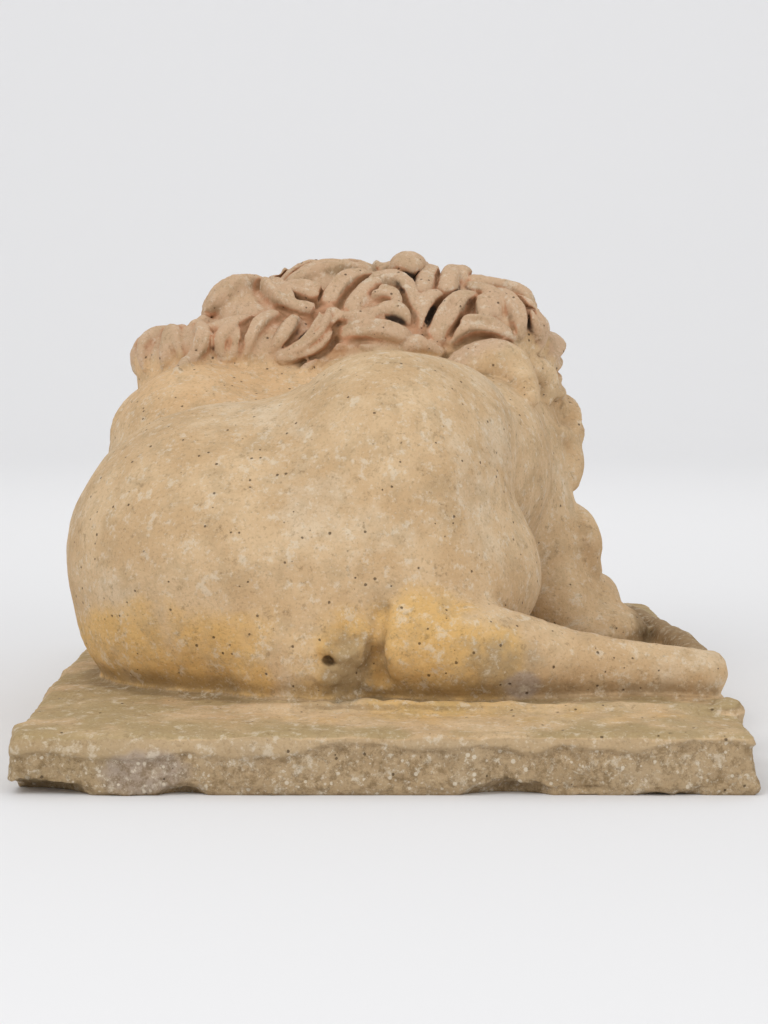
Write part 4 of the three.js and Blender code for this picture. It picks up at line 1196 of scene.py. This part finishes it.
class Painter:
    """Builds a node material, coat by coat."""

    def __init__(self, name):
        self.material = bpy.data.materials.new(name)
        self.material.use_nodes = True
        self.tree = self.material.node_tree
        self.shader = self.tree.nodes["Principled BSDF"]
        self.place = self.tree.nodes.new("ShaderNodeTexCoord").outputs["Object"]

    def link(self, source, socket):
        """Feeds a socket from another, or sets it to a value."""
        if isinstance(source, bpy.types.NodeSocket):
            self.tree.links.new(source, socket)
        else:
            socket.default_value = source

    def node(self, kind, inputs, **settings):
        """A node of a kind, with its settings made and its inputs fed."""
        made = self.tree.nodes.new("ShaderNode" + kind)
        for name, value in settings.items():
            setattr(made, name, value)
        for socket, source in inputs.items():
            self.link(source, made.inputs[socket])
        return made

    def attribute(self, name):
        """A number stored on the mesh."""
        return self.node("Attribute", {}, attribute_name=name).outputs["Fac"]

    def noise(self, size, detail=4.0, roughness=0.6):
        """Noise from about 0 to 1 with lumps of a size in millimetres."""
        scale = 1.0 / (size * METRES)
        inputs = {"Vector": self.place, "Scale": scale, "Detail": detail, "Roughness": roughness}
        return self.node("TexNoise", inputs).outputs["Fac"]

    def spots(self, size):
        """Scattered cells of a size in millimetres: distance from each middle, and a number per cell."""
        cells = self.node("TexVoronoi", {"Vector": self.place, "Scale": 1.0 / (size * METRES)})
        parts = self.node("SeparateColor", {"Color": cells.outputs["Color"]})
        return cells.outputs["Distance"], parts.outputs["Red"]

    def math(self, operation, a, b):
        """Two numbers put together."""
        return self.node("Math", {0: a, 1: b}, operation=operation).outputs["Value"]

    def step(self, value, low, high, start=0.0, end=1.0):
        """A soft step from start to end as value goes from low to high."""
        inputs = {"Value": value, "From Min": low, "From Max": high, "To Min": start, "To Max": end}
        return self.node("MapRange", inputs, interpolation_type="SMOOTHSTEP").outputs["Result"]

    def mix(self, amount, below, above):
        """One colour over another."""
        return self.node("Mix", {0: amount, 6: below, 7: above}, data_type="RGBA").outputs[2]

    def broken(self, mask, size, low, high, strength, spread):
        """A mask whose edge is broken up by noise of a size in millimetres."""
        ragged = self.math("MULTIPLY", self.math("SUBTRACT", self.noise(size), 0.5), spread)
        return self.step(self.math("ADD", mask, ragged), low, high, 0.0, strength)

    def dots(self, distance, number, bare, widest, edge, strength):
        """Dots in scattered cells, of a radius that goes by the cell's number, with some cells bare."""
        radius = self.step(number, bare, 1.0, 0.0, widest)
        return self.step(self.math("SUBTRACT", distance, radius), *edge, strength, 0.0)


def paint_coats(paint):
    """The colour of the clouded stone under its stains."""
    clouds = paint.step(paint.noise(CLOUD_SIZE), *CLOUD_EDGE)
    colour = paint.mix(clouds, linear(BUFF), linear(SAND))
    for mask, code, *edge in COATS:
        cover = paint.broken(paint.attribute(mask), *edge, COAT_SPREAD)
        colour = paint.mix(cover, colour, linear(code))
    return colour


def paint_specks(paint, colour, broken):
    """The colour with specks all over it, then specks and pale grains on the broken face."""
    for code, noise_kind, edge, strength in SPECKS:
        specks = paint.step(paint.noise(*noise_kind), *edge, 0.0, strength)
        colour = paint.mix(specks, colour, linear(code))
    for code, noise_kind, edge, strength in BREAK_SPECKS:
        specks = paint.step(paint.noise(*noise_kind), *edge, 0.0, strength)
        colour = paint.mix(paint.math("MULTIPLY", specks, broken), colour, linear(code))
    pitch, *shape = GRAINS
    grains = paint.dots(*paint.spots(pitch), *shape)
    return paint.mix(paint.math("MULTIPLY", grains, broken), colour, linear(PALE))


def paint_hollows(paint, colour):
    """The colour with rust stain and painted shade in the mane's crevices, brown dirt and painted shade in
    all crevices, and near-black painted shade in the deep hollows of the mane.
    """
    crevice = paint.attribute("crevice")
    # Rust stain and painted shade in the mane's crevices
    code, *edge = RUST_AND_SHADE_COAT
    rust = paint.math("MULTIPLY", paint.broken(crevice, *edge), paint.attribute("mane"))
    colour = paint.mix(rust, colour, linear(code))
    # Brown dirt and painted shade in all crevices
    code, *edge = DIRT_AND_SHADE_COAT
    colour = paint.mix(paint.broken(crevice, *edge), colour, linear(code))
    # Near-black painted shade in the deepest hollows of the mane
    code, *edge = HOLLOW_SHADE_COAT
    return paint.mix(paint.broken(paint.attribute("hollow"), *edge), colour, linear(code))


def ragged_pits(paint):
    """Small pits with ragged edges: 1 inside them."""
    pitch, *shape = PITS
    distance, number = paint.spots(pitch)
    ragged = paint.math("MULTIPLY", paint.noise(*PIT_NOISE), PIT_RAGGED)
    return paint.dots(paint.math("ADD", distance, ragged), number, *shape)


def paint_bump(paint, broken, pits):
    """Fine and wide roughness, stronger on the broken face, with the pits sunk into it."""
    fine = paint.math("MULTIPLY", paint.noise(*FINE_BUMP), paint.step(broken, 0.0, 1.0, *FINE_HEIGHTS))
    wide = paint.math("MULTIPLY", paint.noise(*WIDE_BUMP), WIDE_HEIGHT)
    height = paint.math("SUBTRACT", paint.math("ADD", fine, wide), pits)
    inputs = {"Strength": BUMP_STRENGTH, "Distance": BUMP_HEIGHT * METRES, "Height": height}
    bump = paint.node("Bump", inputs)
    paint.link(bump.outputs["Normal"], paint.shader.inputs["Normal"])


def stone():
    """Weathered cast stone: stains, specks, dirt and painted shade in hollows, pits and a rough skin."""
    paint = Painter("weathered_stone")
    broken = paint.attribute("broken")
    colour = paint_coats(paint)
    colour = paint_specks(paint, colour, broken)
    colour = paint_hollows(paint, colour)
    pits = ragged_pits(paint)
    colour = paint.mix(paint.math("MULTIPLY", pits, PIT_SHADE), colour, linear(DARK_PIT))
    paint.link(colour, paint.shader.inputs["Base Color"])
    roughness = paint.step(paint.noise(GLOSS_SIZE), *GLOSS_EDGE, *ROUGHNESS)
    paint.link(roughness, paint.shader.inputs["Roughness"])
    paint.shader.inputs["Specular IOR Level"].default_value = SPECULAR
    paint_bump(paint, broken, pits)
    return paint.material


def make_lion():
    """The lion and its slab as one weathered piece."""
    clay = sculpt()
    corners, quads = clay.skin()
    normals = clay.normal(corners, clay.field, CELL)
    lift = weather(clay, corners, normals)
    resting = smooth_step(corners[:, 2], *REST_FADE)
    corners = flattened(corners + normals * (lift * resting)[:, None])
    lion = thinned(mesh_object("lion_stone", corners, quads), MOST_TRIANGLES)
    points = flattened(corners_of(lion))
    move_corners(lion, points)
    normals = clay.normal(points, clay.field, CELL)
    for name, values in stains(clay, points, normals).items():
        set_attribute(lion, name, values)
    lion.data.materials.clear()
    lion.data.materials.append(stone())
    return lion


def floor_profile():
    """The floor from its middle outward, round the bend and up the wall: radius and height."""
    profile = [(0.0, 0.0)]
    for step in range(BEND_STEPS + 1):
        a = math.radians(90 * step / BEND_STEPS)
        profile.append((FLOOR_RADIUS + BEND_RADIUS * math.sin(a), BEND_RADIUS * (1 - math.cos(a))))
    profile.append((FLOOR_RADIUS + BEND_RADIUS, WALL_TOP))
    return profile


def make_stage():
    """A pale floor that turns up into a round wall far from the lion."""
    profile = floor_profile()
    angles = np.arange(FLOOR_TURNS) * 2 * math.pi / FLOOR_TURNS
    corners = np.array([(r * math.cos(a), r * math.sin(a), z) for r, z in profile for a in angles])
    faces = []
    for ring in range(len(profile) - 1):
        inner, outer = ring * FLOOR_TURNS, (ring + 1) * FLOOR_TURNS
        for j in range(FLOOR_TURNS):
            k = (j + 1) % FLOOR_TURNS
            faces.append((inner + j, inner + k, outer + k, outer + j))
    floor = mesh_object("floor", corners / METRES, np.array(faces))
    material = bpy.data.materials.new("pale_floor")
    material.use_nodes = True
    shader = material.node_tree.nodes["Principled BSDF"]
    shader.inputs["Base Color"].default_value = FLOOR_COLOUR
    shader.inputs["Roughness"].default_value = FLOOR_ROUGHNESS
    floor.data.materials.append(material)


def make_light(name, place, target, size, power):
    """A square soft light that looks at a target."""
    light = bpy.data.lights.new(name, "AREA")
    light.size = size
    light.energy = power
    made = placed(name, light)
    made.location = place
    gap = [t - p for t, p in zip(target, place)]
    flat = math.hypot(gap[0], gap[1])
    made.rotation_euler = (math.atan2(flat, -gap[2]), 0.0, math.atan2(gap[1], gap[0]) - math.pi / 2)


def make_lights():
    """Soft studio light: a wide key on the left, a fill, a rim, a light on the wall behind, a pale sky."""
    for light in LIGHTS:
        make_light(*light)
    world = bpy.data.worlds.new("studio")
    world.use_nodes = True
    background = world.node_tree.nodes["Background"]
    background.inputs["Color"].default_value = SKY_COLOUR
    background.inputs["Strength"].default_value = SKY_STRENGTH
    bpy.context.scene.world = world


def make_camera():
    """The photograph's viewpoint: from behind, a little below the top of the mane."""
    tilt = math.atan((IMAGE_HEIGHT / 2 - HORIZON_ROW) / FOCAL_PIXELS)
    drop = CAMERA_HEIGHT - SLAB_TOP / 2
    distance = (FOCAL_PIXELS * WIDTH / NEAR_EDGE_PIXELS - drop * math.sin(tilt)) / math.cos(tilt)
    camera = bpy.data.cameras.new("photo_camera")
    camera.sensor_width = SENSOR
    camera.lens = FOCAL_PIXELS / IMAGE_HEIGHT * SENSOR
    made = placed("photo_camera", camera)
    made.location = (0.0, -(LENGTH / 2 + distance) * METRES, CAMERA_HEIGHT * METRES)
    made.rotation_euler = (math.pi / 2 - tilt, 0.0, 0.0)
    bpy.context.scene.camera = made


lion = make_lion()
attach(lion, "root")
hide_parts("lion")
make_stage()
make_lights()
make_camera()
bpy.context.scene.view_settings.view_transform = "Standard"
